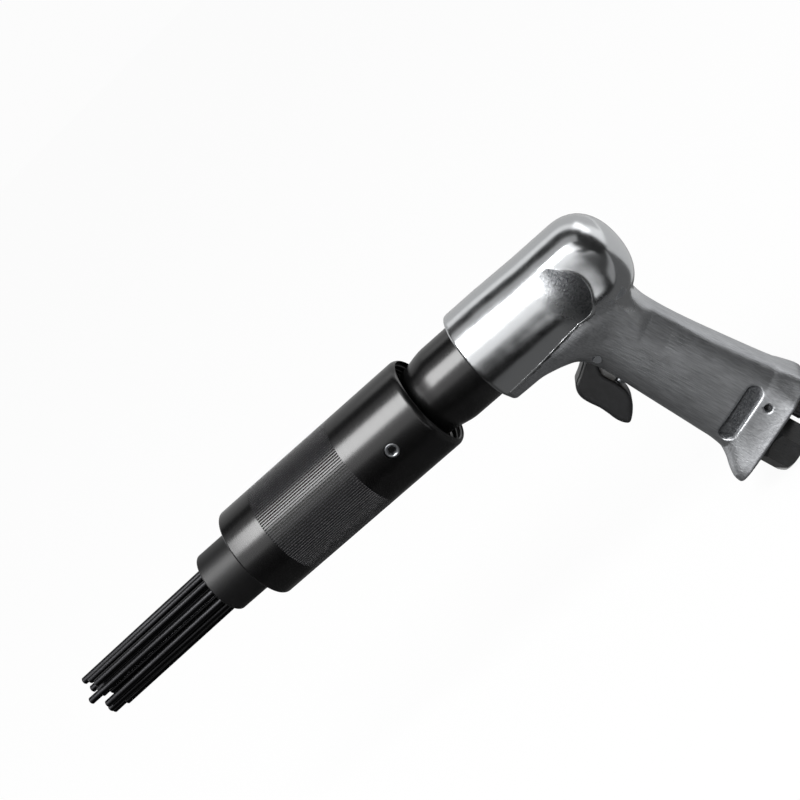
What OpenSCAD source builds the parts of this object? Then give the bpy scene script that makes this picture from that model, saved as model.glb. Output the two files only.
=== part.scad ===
// Pistol-grip pneumatic needle scaler.
// The barrel axis is X: the needles point to -X, the domed rear is at +X, the grip hangs to -Z.
// The origin is on the barrel axis, in the front face of the knurled sleeve.

/* [Sleeve] */
// Outer diameter of the knurled sleeve
sleeve_d = 40; // [39:0.5:46]
// Length of the sleeve
sleeve_l = 93; // [90:1:110]
// Rounding of the front edge
sleeve_front_round = 3.2; // [1:0.2:4]
// Rounding of the rear rim
sleeve_rear_round = 1.2; // [0.4:0.1:1.4]
// Thickness of the lip that holds the nose tube
lip_t = 4; // [3:0.5:6]
// Diameter of the spring chamber
chamber_d = 34; // [33:0.2:35]
// Diameter of the bore that takes the barrel collar
collar_bore_d = 36.2; // [35.6:0.1:36.8]
// Diameter of the open mouth at the rear
mouth_d = 37.4; // [37:0.1:38]
// Depth of the open mouth
mouth_l = 5; // [3:0.5:7]
// Place of the front of the knurled band
knurl_x = 15.5; // [10:0.5:20]
// Length of the knurled band
knurl_l = 40.5; // [20:0.5:42]
// Depth of the knurled flutes
knurl_depth = 0.35; // [0.2:0.05:0.6]
// Number of flutes round the band
knurl_teeth = 120; // [80:4:132]
// Width of the relief groove at each end of the band
knurl_relief = 0.8; // [0.4:0.1:1.5]
// Width of the ring groove in the front face
face_groove_w = 1.6; // [1:0.1:2]
// Depth of the ring groove in the front face
face_groove_depth = 0.8; // [0.4:0.1:1.2]

/* [Set screws] */
// Diameter of a set screw
screw_d = 6; // [5:0.1:7]
// Length of a set screw
screw_l = 4.6; // [4:0.1:5]
// Distance of the set screws from the sleeve's rear end
screw_back = 18.3; // [15:0.1:22]
// Width of the hexagon socket
screw_socket = 3; // [2:0.1:3.5]
// Depth of the hexagon socket
screw_socket_depth = 2.4; // [1.5:0.1:3]
// Depth of the screw head under the sleeve's surface
screw_sink = 0.3; // [0.1:0.05:0.6]

/* [Nose tube] */
// Outer diameter of the nose tube
nose_d = 26.8; // [26.2:0.1:27.2]
// Wall of the nose tube
nose_wall = 1.7; // [1.2:0.1:1.8]
// Length of the tube in front of the sleeve
nose_reach = 19; // [15:0.5:26]
// Diameter of the flange behind the sleeve's lip
nose_flange_d = 33.4; // [31:0.2:33.6]
// Thickness of the flange
nose_flange_t = 4.5; // [3:0.5:6]
// Rounding of the front edge
nose_round = 0.6; // [0.2:0.1:0.65]

/* [Needles] */
// Diameter of a needle
needle_d = 3; // [2:0.1:3.2]
// Length of a needle with its head
needle_l = 135; // [120:1:140]
// Diameter of a needle head
head_d = 4; // [3.6:0.1:4.1]
// Length of a needle head
head_l = 3; // [2:0.1:4]
// Radius of the inner ring of needles
inner_ring_r = 4.3; // [4.2:0.05:4.4]
// Radius of the outer ring of needles
outer_ring_r = 8.6; // [8.5:0.05:8.7]
// Free travel of each needle in the holder
needle_float = 10; // [8:0.5:12]
// Angle by which the loose needles hang
needle_droop = 1; // [0.6:0.05:1.1]
// Angle by which single needles stray
needle_sway = 0.3; // [0:0.05:0.35]
// Chamfer of the needle tips
tip_chamfer = 0.35; // [0.1:0.05:0.6]

/* [Needle head] */
// Thickness of the holder's drilled plate
holder_plate = 7.5; // [6:0.1:8]
// Outer diameter of holder and anvil
holder_d = 33.4; // [32.4:0.1:33.6]
// Wall of the holder's skirt
holder_wall = 2.6; // [1.5:0.1:4]
// Clearance of a needle in its hole
needle_hole_clear = 0.28; // [0.2:0.02:0.4]
// Thickness of the anvil's striking flange
anvil_t = 9.3; // [8:0.1:10.5]
// Diameter of the anvil shank
shank_d = 14; // [11:0.2:16]
// Travel of holder and anvil, and reach of the shank into the piston bore
head_travel = 4; // [3.4:0.2:5]

/* [Return spring] */
// Wire diameter of the return spring
spring_wire = 2.4; // [1.6:0.1:2.6]
// Pitch of the return spring
spring_pitch = 4.07; // [3.4:0.01:6.7]
// Mean diameter of the return spring
spring_mean_d = 29.8; // [28.5:0.1:30.5]

/* [Barrel] */
// Outer diameter of the barrel
barrel_d = 32.4; // [31:0.1:33]
// Length of the barrel inside the sleeve
sleeve_lap = 31; // [29:0.1:32]
// Length of the threaded collar
collar_l = 22; // [19:0.5:25]
// Diameter of the neck behind the collar
neck_d = 31.6; // [30:0.1:32]
// Length of the neck
neck_l = 13; // [10:0.5:15]
// Length of the guide for the anvil shank
guide_l = 20; // [16:0.5:22]
// Diameter of the piston bore
piston_bore_d = 22; // [18:0.2:24]

/* [Piston] */
// Length of the piston
piston_l = 30; // [26:0.5:32]
// Stroke of the piston
piston_stroke = 28; // [24:0.5:30]
// Length of the air cushion behind the piston at the end of its stroke
cushion_l = 3.9; // [2:0.1:5]
// Diameter of the piston's striking nose
piston_nose_d = 13; // [10:0.5:15]
// Length of the striking nose
piston_nose_l = 5; // [3:0.5:8]
// Thickness of the buffer ring in front of the piston
buffer_t = 3; // [2:0.2:3.4]

/* [Valve] */
// Thickness of the valve block
valve_block_t = 9; // [7:0.5:10]
// Thickness of the valve cap
valve_cap_t = 9; // [7:0.5:10]
// Diameter of the valve plate
valve_plate_d = 18; // [14:0.5:20]
// Thickness of the valve plate
valve_plate_t = 1.2; // [1:0.1:1.6]
// Travel of the valve plate
valve_travel = 0.8; // [0.5:0.1:1.2]
// Diameter of the air ports
port_d = 3; // [2:0.1:3.4]
// Diameter of the dowel pin through the valve parts
dowel_d = 2; // [1.5:0.1:2.4]

/* [Housing] */
// Outer diameter of the cylinder housing
housing_d = 39.4; // [39:0.2:44]
// Length of barrel left bare between sleeve and housing
bare_barrel_l = 25.2; // [20:0.2:32]
// Length from the housing's front to the centre of the rear dome
dome_x = 50; // [48:0.2:56]
// Length from the housing's front to the centre of the round end of the flank
flank_x = 40.6; // [38:0.2:44]
// Width of the head behind the flanks
head_w = 33; // [30:0.5:36]
// Step from the cylinder down to the head's top
head_step = 0.25; // [0.2:0.05:0.6]
// Rounding of the housing's front edge
housing_front_round = 3.2; // [1:0.2:3.4]
// Diameter of the air chamber behind the valve
air_chamber_d = 16; // [12:0.5:20]
// Depth of the air chamber
air_chamber_l = 7; // [4:0.5:9]
// Section of the seal ring on the barrel
seal_d = 1.8; // [1.2:0.1:2]
// Distance of the seal ring from the housing's front
seal_x = 6; // [5:0.5:12]

/* [Grip] */
// Lean of the grip away from square to the barrel
grip_rake = 16.8; // [13:0.2:19]
// Distance of the grip's toe behind the housing's front
toe_x = 39.4; // [37:0.2:42]
// Distance of the grip's toe below the barrel axis
toe_drop = 100; // [97:0.5:105]
// Depth of the grip's end from toe to heel
grip_depth = 46; // [44:0.5:50]
// Width of the grip
grip_w = 25; // [23:0.5:30]
// Depth of the sunk panel in each side
panel_depth = 1.2; // [0.8:0.1:1.8]
// Height of the sunk panel
panel_l = 6.4; // [5:0.2:8]
// Width of the sunk panel
panel_w = 24; // [16:0.5:26]
// Corner radius of the sunk panel
panel_r = 3; // [1.5:0.1:3.1]

/* [Trigger] */
// Width of the trigger
trigger_w = 10; // [7:0.5:11]
// Depth of the trigger blade in front of its rear face
trigger_depth = 12.4; // [10:0.2:13]
// Height of the trigger blade below its pivot
trigger_h = 25; // [20:0.5:26]
// Diameter of the trigger hub
hub_d = 7.6; // [6:0.2:8]
// Distance of the pivot behind the grip's toe
pivot_u = 15.7; // [15:0.1:17]
// Metal between the barrel bore and the trigger's slot, along the grip
pivot_wall = 3.98; // [3.3:0.02:4.8]
// Diameter of the pivot pin
pivot_d = 3; // [2:0.1:3.2]
// Length of the pivot pin
pivot_l = 24; // [18:0.5:24.4]
// Angle through which the trigger swings
trigger_swing = 9; // [6:0.5:9.5]

/* [Throttle] */
// Metal between the trigger's slot and the throttle bush
throttle_wall = 4.08; // [3.5:0.02:5.2]
// Diameter of the throttle bush
bush_d = 12; // [10:0.2:12.4]
// Length of the throttle bush
bush_l = 11.5; // [9:0.5:12]
// Distance of the bush's inner end behind the grip's toe
bush_u = 24; // [23:0.2:25]
// Diameter of the throttle stem
stem_d = 3.9; // [3:0.1:4.4]
// Length of stem left in front of the bush when the trigger is pulled
stem_spare = 0.95; // [0.6:0.05:1.4]
// Diameter of the valve head on the stem
valve_head_d = 8.2; // [7:0.1:8.4]
// Thickness of the valve head
valve_head_t = 2.7; // [2:0.1:3.4]
// Diameter of the spring bore behind the valve
spring_bore_d = 9.2; // [9:0.1:9.8]
// Depth of the spring bore
spring_bore_l = 11; // [9:0.2:12]
// Wire diameter of the throttle spring
throttle_wire = 0.8; // [0.5:0.05:0.9]
// Turns of the throttle spring
throttle_turns = 5; // [3:1:5]
// Mean diameter of the throttle spring
throttle_mean_d = 6; // [5:0.1:6.6]

/* [Air inlet] */
// Distance of the inlet behind the grip's toe
inlet_u = 18.3; // [17.6:0.1:18.6]
// Width of the hexagon across its flats
inlet_hex = 17; // [16:0.5:18]
// Length of the hexagon
inlet_hex_l = 11.2; // [10.6:0.1:14]
// Length of the neck between grip and hexagon
inlet_neck_l = 2.8; // [1.5:0.1:4]
// Diameter of the threaded shank
inlet_shank_d = 13.1; // [12:0.1:13.6]
// Length of the shank in the grip
inlet_shank_l = 11; // [8:0.5:12]
// Diameter of the threaded hole for the hose fitting
inlet_thread_d = 11.44; // [10:0.02:12]
// Depth of the threaded hole
inlet_thread_l = 10.5; // [8:0.5:11]
// Diameter of the air way through the bushing
inlet_way_d = 7.2; // [5:0.2:8]
// Height of the strainer cup
screen_l = 3; // [2:0.2:4]
// Wall of the strainer cup
screen_wall = 0.8; // [0.5:0.1:1.2]

/* [Regulator] */
// Distance of the regulator behind the grip's toe
regulator_u = 35.3; // [34.8:0.1:36]
// Diameter of the regulator knob
knob_d = 11; // [9:0.2:12]
// Length of the regulator knob
knob_l = 8.4; // [6:0.2:12]
// Width of the screwdriver slot in the knob
knob_slot_w = 1.6; // [1:0.1:2]
// Depth of the screwdriver slot
knob_slot_depth = 2; // [1:0.1:3]
// Number of grip flutes round the knob
knob_flutes = 12; // [6:1:16]
// Diameter of the regulator stem
regulator_stem_d = 8; // [7:0.1:8.4]
// Length of the regulator stem
regulator_stem_l = 21; // [20:0.2:22]
// Height of the retaining pin above the grip's end
retainer_h = 8.1; // [7:0.1:9]
// Diameter of the retaining pin
retainer_d = 3; // [2:0.1:3.2]
// Length of the retaining pin
retainer_l = 22.4; // [16:0.4:23]
// Diameter of the stem in its groove
groove_d = 5.2; // [4.4:0.1:5.4]
// Width of the groove
groove_w = 3.8; // [3.6:0.1:4.4]
// Section of the regulator's seal ring
regulator_seal_d = 1.4; // [1:0.1:1.6]
// Diameter of the metering port
metering_d = 4; // [2:0.2:4.4]

/* [Air ways] */
// Diameter of the drilled air ways in the grip
way_d = 5.2; // [4:0.2:5.6]
// Wall between the strainer chamber and the cross way to the regulator
cross_way_wall = 0.5; // [0.3:0.1:0.8]

/* [Fits] */
// Radial clearance of a running fit
run_clear = 0.05; // [0.02:0.01:0.1]
// Radial clearance of a pressed or screwed fit
seat_clear = 0.02; // [0.01:0.01:0.05]
// Gap between moving faces that meet
stop_gap = 0.3; // [0.1:0.05:0.4]
// Side clearance of the trigger in its slot
slot_clear = 0.4; // [0.3:0.05:0.8]

/* [Hidden] */
needle_rings = [1, 6, 12];
needle_count = 19;
function two_digits(n) = str(n < 10 ? "0" : "", n);
function needle_name(i) = str("needle_", two_digits(i + 1));

// Facets of a turned piece, and of a rounded corner
turn_facets = 96;
round_steps = 6;
// Run of a cut past the face that it opens
overrun = 1;

// Places along the barrel
barrel_x = sleeve_l - sleeve_lap;
screw_x = sleeve_l - screw_back;
housing_x = sleeve_l + bare_barrel_l;
dome_centre_x = housing_x + dome_x;
collar_d = collar_bore_d - 2 * seat_clear;
guide_rear_x = barrel_x + guide_l;
anvil_rear_x = barrel_x - stop_gap;
shank_rear_x = guide_rear_x + head_travel;
anvil_x = anvil_rear_x - anvil_t;
plate_rear_x = anvil_x - head_l - needle_float - 2 * stop_gap;
holder_x = plate_rear_x - holder_plate;
piston_x = shank_rear_x + stop_gap;
barrel_rear_x = piston_x + piston_l + piston_stroke + cushion_l;
valve_rear_x = barrel_rear_x + valve_block_t + valve_cap_t;
nose_rear_x = lip_t + nose_flange_t;
barrel_chamfer = 0.8;
skirt_d = holder_d - 2 * holder_wall;

// A point and a direction in the grip's own frame: u runs from toe to heel, h up from the grip's end
module in_grip() {
    translate([housing_x + toe_x, 0, -toe_drop]) rotate([0, -grip_rake, 0]) children();
}

// Height of the barrel axis above the toe, along the grip
grip_l = toe_drop * cos(grip_rake);

// Heights of the trigger's pivot and of the throttle valve above the grip's end
pivot_h = grip_l - barrel_d / 2 - run_clear - pivot_wall - slot_clear - hub_d / 2;
throttle_h = pivot_h - hub_d / 2 - slot_clear - throttle_wall - seat_clear - bush_d / 2;

// Rounded corner of a turned outline: centre, radius and the angles that it spans
function corner(r, x, radius, from, to) = [
    for (i = [0 : round_steps])
        let (a = from + (to - from) * i / round_steps)
        [r + radius * cos(a), x + radius * sin(a)]
];

// A piece turned on the barrel axis from [radius, place] points
module turned(outline) {
    rotate([0, 90, 0]) rotate_extrude($fn = turn_facets) polygon(outline);
}

// A rod on the barrel axis
module rod_x(d, from, to) {
    translate([from, 0, 0]) rotate([0, 90, 0]) cylinder(d = d, h = to - from, $fn = turn_facets);
}

// A rod along the grip, from height to height
module rod_h(d, u, from, to) {
    translate([u, 0, from]) cylinder(d = d, h = to - from, $fn = turn_facets);
}

// A rod across the grip, from toe side to heel side
module rod_u(d, h, from, to) {
    translate([from, 0, h]) rotate([0, 90, 0]) cylinder(d = d, h = to - from, $fn = turn_facets);
}

// A rod through the grip from side to side
module rod_y(d, u, h, l) {
    translate([u, l / 2, h]) rotate([90, 0, 0]) cylinder(d = d, h = l, $fn = turn_facets);
}

// Skin over rings of points that all have the same count, closed by a cap at each end
function ring_skin(rings, sides) = concat(
    [[for (j = [0 : sides - 1]) j]],
    [for (i = [0 : rings - 2]) for (j = [0 : sides - 1])
        let (k = (j + 1) % sides)
        each [
            [i * sides + j, (i + 1) * sides + j, (i + 1) * sides + k],
            [i * sides + j, (i + 1) * sides + k, i * sides + k]
        ]],
    [[for (j = [sides - 1 : -1 : 0]) (rings - 1) * sides + j]]
);

// Round-wire coil along X, standing from x = 0 to x = length
coil_sides = 6;
coil_rings_per_turn = 10;
function coil_rings(turns) = turns * coil_rings_per_turn + 1;
function coil_pitch(length, wire, turns) = (length - wire) / turns;
function coil_points(length, wire, turns, mean_d) = [
    for (i = [0 : coil_rings(turns) - 1])
        let (a = 360 * i / coil_rings_per_turn)
        let (x = wire / 2 + (length - wire) * i / (coil_rings(turns) - 1))
        for (j = [0 : coil_sides - 1])
            let (b = 360 * j / coil_sides)
            let (r = mean_d / 2 + wire / 2 * cos(b))
            [x + wire / 2 * sin(b), r * cos(a), r * sin(a)]
];

// Least gap between turns, from points one turn apart
function coil_gap(points) = min([
    for (i = [0 : len(points) - 1 - coil_rings_per_turn * coil_sides])
        for (j = [0 : coil_sides - 1])
            let (far = i + coil_rings_per_turn * coil_sides)
            let (other = floor(far / coil_sides) * coil_sides + j)
            norm(points[i] - points[other])
]);

module coil(length, wire, turns, mean_d) {
    points = coil_points(length, wire, turns, mean_d);
    echo(least_gap_between_turns = coil_gap(points));
    polyhedron(points, ring_skin(coil_rings(turns), coil_sides));
}

// Knurled sleeve: turned tube with a lip in front, a fluted band and two screw holes
module knurled_sleeve() {
    r = sleeve_d / 2;
    band_r = r - knurl_depth;
    rear_r = sleeve_rear_round;
    front_r = sleeve_front_round;
    lip_r = nose_d / 2 + seat_clear;
    ring_r = (lip_r + r - front_r) / 2;
    knurl_end = knurl_x + knurl_l;
    outline = concat(
        [[lip_r, 0], [ring_r - face_groove_w / 2, 0]],
        [[ring_r - face_groove_w / 2, face_groove_depth], [ring_r + face_groove_w / 2, face_groove_depth]],
        [[ring_r + face_groove_w / 2, 0]],
        corner(r - front_r, front_r, front_r, -90, 0),
        [[r, knurl_x - knurl_relief], [band_r, knurl_x - knurl_relief]],
        [[band_r, knurl_end + knurl_relief], [r, knurl_end + knurl_relief]],
        corner(r - rear_r, sleeve_l - rear_r, rear_r, 0, 90),
        [[mouth_d / 2, sleeve_l], [mouth_d / 2, sleeve_l - mouth_l]],
        [[collar_bore_d / 2, sleeve_l - mouth_l - (mouth_d - collar_bore_d) / 2]],
        [[collar_bore_d / 2, barrel_x], [chamber_d / 2, barrel_x]],
        [[chamber_d / 2, lip_t], [lip_r, lip_t]]
    );
    color("#1c1c1e") difference() {
        union() {
            turned(outline);
            translate([knurl_x, 0, 0]) rotate([0, 90, 0]) knurled_band(r, band_r);
        }
        for (side = [-1, 1])
            translate([screw_x, 0, 0]) rotate([90 * side, 0, 0]) screw_hole(r);
    }
}

// Ring of straight flutes, sunk into the wall under it
flute_share = 0.85;
module knurled_band(r, band_r) {
    valley_r = r - knurl_depth * flute_share;
    linear_extrude(knurl_l) difference() {
        polygon([
            for (i = [0 : 2 * knurl_teeth - 1])
                let (a = 180 * i / knurl_teeth)
                let (at = i % 2 == 0 ? r : valley_r)
                [at * cos(a), at * sin(a)]
        ]);
        circle(r = band_r - knurl_depth, $fn = turn_facets);
    }
}

// Radial hole for a set screw, from the bottom of its seat in the collar to outside the sleeve
module screw_hole(r) {
    translate([0, 0, r - screw_sink - screw_l])
        cylinder(d = screw_d + 2 * run_clear, h = screw_l + screw_sink + overrun, $fn = turn_facets);
}

// Two socket set screws that lock the sleeve to the barrel collar
module set_screws() {
    top = sleeve_d / 2 - screw_sink;
    socket_d = screw_socket / cos(30);
    edge = screw_d / 2 - (screw_d - socket_d) / 4;
    color("#b9bcc0")
        for (side = [-1, 1])
            translate([screw_x, 0, 0]) rotate([90 * side, 0, 0]) difference() {
                translate([0, 0, top - screw_l]) rotate_extrude($fn = turn_facets) polygon([
                    [0, 0], [screw_d / 2, 0], [screw_d / 2, screw_l - (screw_d / 2 - edge) / 2],
                    [edge, screw_l], [0, screw_l]
                ]);
                translate([0, 0, top - screw_socket_depth])
                    cylinder(d = socket_d, h = screw_socket_depth + overrun, $fn = 6);
            }
}

// Nose tube: thin tube with a flange that the spring holds behind the sleeve's lip
module nose_tube() {
    r = nose_d / 2;
    bore_r = r - nose_wall;
    outline = concat(
        [[bore_r, -nose_reach]],
        corner(r - nose_round, nose_round - nose_reach, nose_round, -90, 0),
        [[r, lip_t], [nose_flange_d / 2, lip_t], [nose_flange_d / 2, nose_rear_x], [bore_r, nose_rear_x]]
    );
    color("#26272a") turned(outline);
}

// Place of needle i on its ring, the angle that it strays by and how far back it has slid
function ring_of(i) = i < needle_rings[0] ? 0 : i < needle_rings[0] + needle_rings[1] ? 1 : 2;
function ring_start(i) = [0, needle_rings[0], needle_rings[0] + needle_rings[1]][ring_of(i)];
ring_radii = [0, inner_ring_r, outer_ring_r];
function needle_angle(i) = 360 * (i - ring_start(i) + ring_of(i) / 4) / needle_rings[ring_of(i)];
function needle_place(i) = ring_radii[ring_of(i)] * [0, cos(needle_angle(i)), sin(needle_angle(i))];
sway_shares = [
    0.2, -0.5, 0.6, 0.3, -0.4, 0.5, -0.2,
    0.8, -0.6, 0.4, 1, -0.3, -0.8, 0.5, -1, 0.3, 0.7, -0.5, 0.1
];
slide_shares = [
    0.35, 0.8, 0.15, 0.55, 0.9, 0.25, 0.65,
    0.3, 0.7, 0.1, 0.5, 0.85, 0.2, 0.6, 0.4, 0.95, 0.05, 0.75, 0.45
];
function needle_turn(i) = [
    0, -needle_droop - needle_sway * sway_shares[i], needle_sway * sway_shares[needle_count - 1 - i]
];

// One loose needle with an upset head, hanging in its hole of the holder
module needle(i) {
    r = needle_d / 2;
    head_r = head_d / 2;
    back = holder_plate / 2 + stop_gap + head_l + needle_float * slide_shares[i];
    shade = ["#55585c", "#4a4d51", "#606368"];
    color(shade[i % 3])
        translate([holder_x + holder_plate / 2, 0, 0] + needle_place(i)) rotate(needle_turn(i))
            translate([back - needle_l, 0, 0]) turned([
                [0, 0], [r - tip_chamfer, 0], [r, tip_chamfer], [r, needle_l - head_l],
                [head_r, needle_l - head_l], [head_r, needle_l - tip_chamfer],
                [head_r - tip_chamfer, needle_l], [0, needle_l]
            ]);
}

// Needle holder: drilled plate with a skirt round the needle heads
module needle_holder() {
    r = holder_d / 2;
    chamfer = holder_wall / 4;
    color("#6b6e72") difference() {
        turned([
            [0, holder_x], [r - chamfer, holder_x], [r, holder_x + chamfer], [r, anvil_x],
            [skirt_d / 2, anvil_x], [skirt_d / 2, plate_rear_x], [0, plate_rear_x]
        ]);
        for (i = [0 : needle_count - 1])
            translate(needle_place(i))
                rod_x(needle_d + 2 * needle_hole_clear, holder_x - overrun, plate_rear_x + overrun);
    }
}

// Anvil: flat striking flange behind the needle heads, on a shank that the piston hits
module anvil() {
    r = holder_d / 2;
    shank_r = shank_d / 2 - run_clear;
    chamfer = shank_d / 14;
    color("#7d8084") turned([
        [0, anvil_x], [r, anvil_x], [r, anvil_rear_x - chamfer], [r - chamfer, anvil_rear_x],
        [shank_r, anvil_rear_x], [shank_r, shank_rear_x - chamfer], [shank_r - chamfer, shank_rear_x],
        [0, shank_rear_x]
    ]);
}

// Return spring between the nose tube's flange and the needle holder
module return_spring() {
    length = holder_x - nose_rear_x - 2 * seat_clear;
    color("#8d9094") translate([nose_rear_x + seat_clear, 0, 0])
        coil(length, spring_wire, max(1, floor((length - spring_wire) / spring_pitch)), spring_mean_d);
}

// Barrel: collar for the sleeve, necked tube, guide for the anvil shank and the piston bore
module cylinder_barrel() {
    r = barrel_d / 2;
    collar_rear_x = barrel_x + collar_l;
    neck_rear_x = collar_rear_x + neck_l;
    groove_x = housing_x + seal_x;
    groove_r = r - seal_d + run_clear;
    color("#17181a") difference() {
        turned([
            [shank_d / 2, barrel_x], [collar_d / 2 - barrel_chamfer, barrel_x],
            [collar_d / 2, barrel_x + barrel_chamfer], [collar_d / 2, collar_rear_x - barrel_chamfer],
            [collar_d / 2 - barrel_chamfer, collar_rear_x], [neck_d / 2, collar_rear_x],
            [neck_d / 2, neck_rear_x], [r, neck_rear_x + (barrel_d - neck_d)],
            [r, groove_x - seal_d / 2 - run_clear], [groove_r, groove_x - seal_d / 2 - run_clear],
            [groove_r, groove_x + seal_d / 2 + run_clear], [r, groove_x + seal_d / 2 + run_clear],
            [r, barrel_rear_x], [piston_bore_d / 2, barrel_rear_x],
            [piston_bore_d / 2, guide_rear_x], [shank_d / 2, guide_rear_x]
        ]);
        for (side = [-1, 1])
            translate([screw_x, 0, 0]) rotate([90 * side, 0, 0]) screw_hole(sleeve_d / 2);
        dowel_hole(barrel_rear_x - dowel_sink, barrel_rear_x + overrun);
    }
}

// Seal ring in the barrel's groove
module barrel_seal() {
    mid_r = (barrel_d - seal_d) / 2 + run_clear;
    color("#101010") translate([housing_x + seal_x, 0, 0]) rotate([0, 90, 0])
        rotate_extrude($fn = turn_facets) translate([mid_r, 0])
            circle(d = seal_d - 2 * seat_clear, $fn = 24);
}

// Buffer ring at the front end of the piston bore
module buffer_ring() {
    color("#2a2a2a") difference() {
        rod_x(piston_bore_d - 2 * seat_clear, guide_rear_x, guide_rear_x + buffer_t);
        rod_x(shank_d + 2 * stop_gap, guide_rear_x - overrun, guide_rear_x + buffer_t + overrun);
    }
}

// Free piston with a striking nose and two wear grooves
module piston() {
    r = piston_bore_d / 2 - run_clear;
    nose_r = piston_nose_d / 2;
    body_x = piston_x + piston_nose_l;
    rear_x = piston_x + piston_l;
    chamfer = piston_nose_d / 13;
    groove = chamfer / 2;
    color("#9a9da1") difference() {
        turned([
            [0, piston_x], [nose_r - chamfer, piston_x], [nose_r, piston_x + chamfer], [nose_r, body_x],
            [r - chamfer, body_x], [r, body_x + chamfer], [r, rear_x - chamfer], [r - chamfer, rear_x],
            [0, rear_x]
        ]);
        for (at_share = [0.35, 0.65])
            translate([body_x + (rear_x - body_x) * at_share, 0, 0]) rotate([0, 90, 0])
                rotate_extrude($fn = turn_facets) translate([r, 0]) circle(r = groove, $fn = 24);
    }
}

// Dowel that keeps barrel, valve block and valve cap in line
dowel_sink = 4;
dowel_r = (piston_bore_d + barrel_d) / 4;
module dowel_hole(from, to) {
    translate([0, 0, dowel_r]) rod_x(dowel_d + 2 * seat_clear, from, to);
}

module valve_dowel() {
    color("#8d9094") translate([0, 0, dowel_r])
        rod_x(dowel_d, barrel_rear_x - dowel_sink, barrel_rear_x + valve_block_t + dowel_sink);
}

// Ring of air ports through a valve part
port_count = 6;
port_r = (valve_plate_d + port_d) / 2;
module ports(from, to, ring_r) {
    for (i = [0 : port_count - 1])
        rotate([360 * (i + 0.5) / port_count, 0, 0]) translate([0, 0, ring_r]) rod_x(port_d, from, to);
}

// Valve block closing the rear of the piston bore
module valve_block() {
    rear_x = barrel_rear_x + valve_block_t;
    color("#777a7e") difference() {
        rod_x(barrel_d, barrel_rear_x, rear_x);
        rod_x(2 * port_d, barrel_rear_x - overrun, rear_x + overrun);
        ports(barrel_rear_x - overrun, rear_x + overrun, valve_plate_d / 2 - port_d);
        dowel_hole(barrel_rear_x - overrun, rear_x + overrun);
    }
}

// Valve plate that flutters between block and cap
module valve_plate() {
    front_x = barrel_rear_x + valve_block_t + stop_gap;
    color("#a3a6aa") rod_x(valve_plate_d, front_x, front_x + valve_plate_t);
}

// Valve cap with the chamber for the plate
module valve_cap() {
    front_x = barrel_rear_x + valve_block_t;
    chamber_l = valve_plate_t + valve_travel + 2 * stop_gap;
    color("#777a7e") difference() {
        rod_x(barrel_d, front_x, valve_rear_x);
        rod_x(valve_plate_d + 2 * stop_gap, front_x - overrun, front_x + chamber_l);
        rod_x(2 * port_d, front_x - overrun, valve_rear_x + overrun);
        dowel_hole(front_x - overrun, front_x + dowel_sink + run_clear);
    }
}

// Side outline of the head: half its width and half its height, rounded like a superellipse
head_power = 2.3;
head_steps = 24;
function power_of(v, power) = sign(v) * pow(abs(v), 2 / power);
function oval(half_a, half_b, power, steps, from, to) = [
    for (i = [0 : steps])
        let (a = from + (to - from) * i / steps)
        [half_a * power_of(cos(a), power), half_b * power_of(sin(a), power)]
];

// Head: the straight part behind the cylinder and its round rear end, narrower than the cylinder
module head() {
    r = housing_d / 2 - head_step;
    straight_from = housing_x + housing_d / 2;
    translate([straight_from, 0, 0]) rotate([90, 0, 90])
        linear_extrude(dome_centre_x - straight_from)
            polygon(oval(head_w / 2, r, head_power, 2 * head_steps, 0, 360));
    translate([dome_centre_x, 0, 0]) rotate([90, 0, 0]) rotate_extrude($fn = turn_facets)
        polygon([for (p = oval(head_w / 2, r, head_power, head_steps, 0, 180)) [p[1], p[0]]]);
}

// Cylinder of the housing, with a filleted front edge and a round rear end on each flank
module flanks() {
    r = housing_d / 2;
    flank_end = housing_x + flank_x;
    outline = concat(
        [[0, housing_x]],
        corner(r - housing_front_round, housing_x + housing_front_round, housing_front_round, -90, 0),
        [[r, flank_end], [0, flank_end]]
    );
    turned(outline);
    translate([flank_end, 0, 0]) sphere(r = r, $fn = turn_facets);
}

// Grip stations from its end upwards: height, front and rear as shares of the grip's
// length and depth, and half width as a share of its width
grip_shares = [
    [0, 0.022, 0.985, 0.5], [0.012, 0.006, 0.997, 0.522], [0.028, 0.006, 1, 0.532],
    [0.055, 0.044, 0.994, 0.536], [0.085, 0.1, 0.985, 0.53], [0.12, 0.146, 0.978, 0.52],
    [0.17, 0.172, 0.966, 0.508], [0.25, 0.185, 0.95, 0.502], [0.36, 0.2, 0.93, 0.5],
    [0.47, 0.214, 0.911, 0.5], [0.57, 0.228, 0.9, 0.504], [0.65, 0.24, 0.899, 0.512],
    [0.71, 0.242, 0.908, 0.524], [0.76, 0.228, 0.938, 0.542], [0.8, 0.186, 0.985, 0.566],
    [0.835, 0.11, 1.03, 0.59], [0.87, 0.03, 1.07, 0.612], [0.92, -0.02, 1.1, 0.62]
];
grip_power = 2.8;
grip_sides = 32;
grip_turn = 360 * grip_sides / (grip_sides + 1);
function grip_ring(s) =
    let (h = s[0] * grip_l)
    let (front = s[1] * grip_depth)
    let (rear = s[2] * grip_depth)
    [for (p = oval((rear - front) / 2, s[3] * grip_w, grip_power, grip_sides, 0, grip_turn))
        [(front + rear) / 2 + p[0], p[1], h]];

module grip_body() {
    sides = grip_sides + 1;
    polyhedron([for (s = grip_shares) each grip_ring(s)], ring_skin(len(grip_shares), sides));
}

// Sunk panel across each side of the grip
panel_u_share = 0.52;
panel_h_share = 0.16;
module side_panels() {
    side_y = grip_w / 2 - panel_depth;
    for (side = [-1, 1])
        translate([panel_u_share * grip_depth, side * (side_y + grip_w / 2), panel_h_share * grip_l])
            rotate([90, 0, 0]) linear_extrude(grip_w, center = true)
                panel_outline();
}

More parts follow.
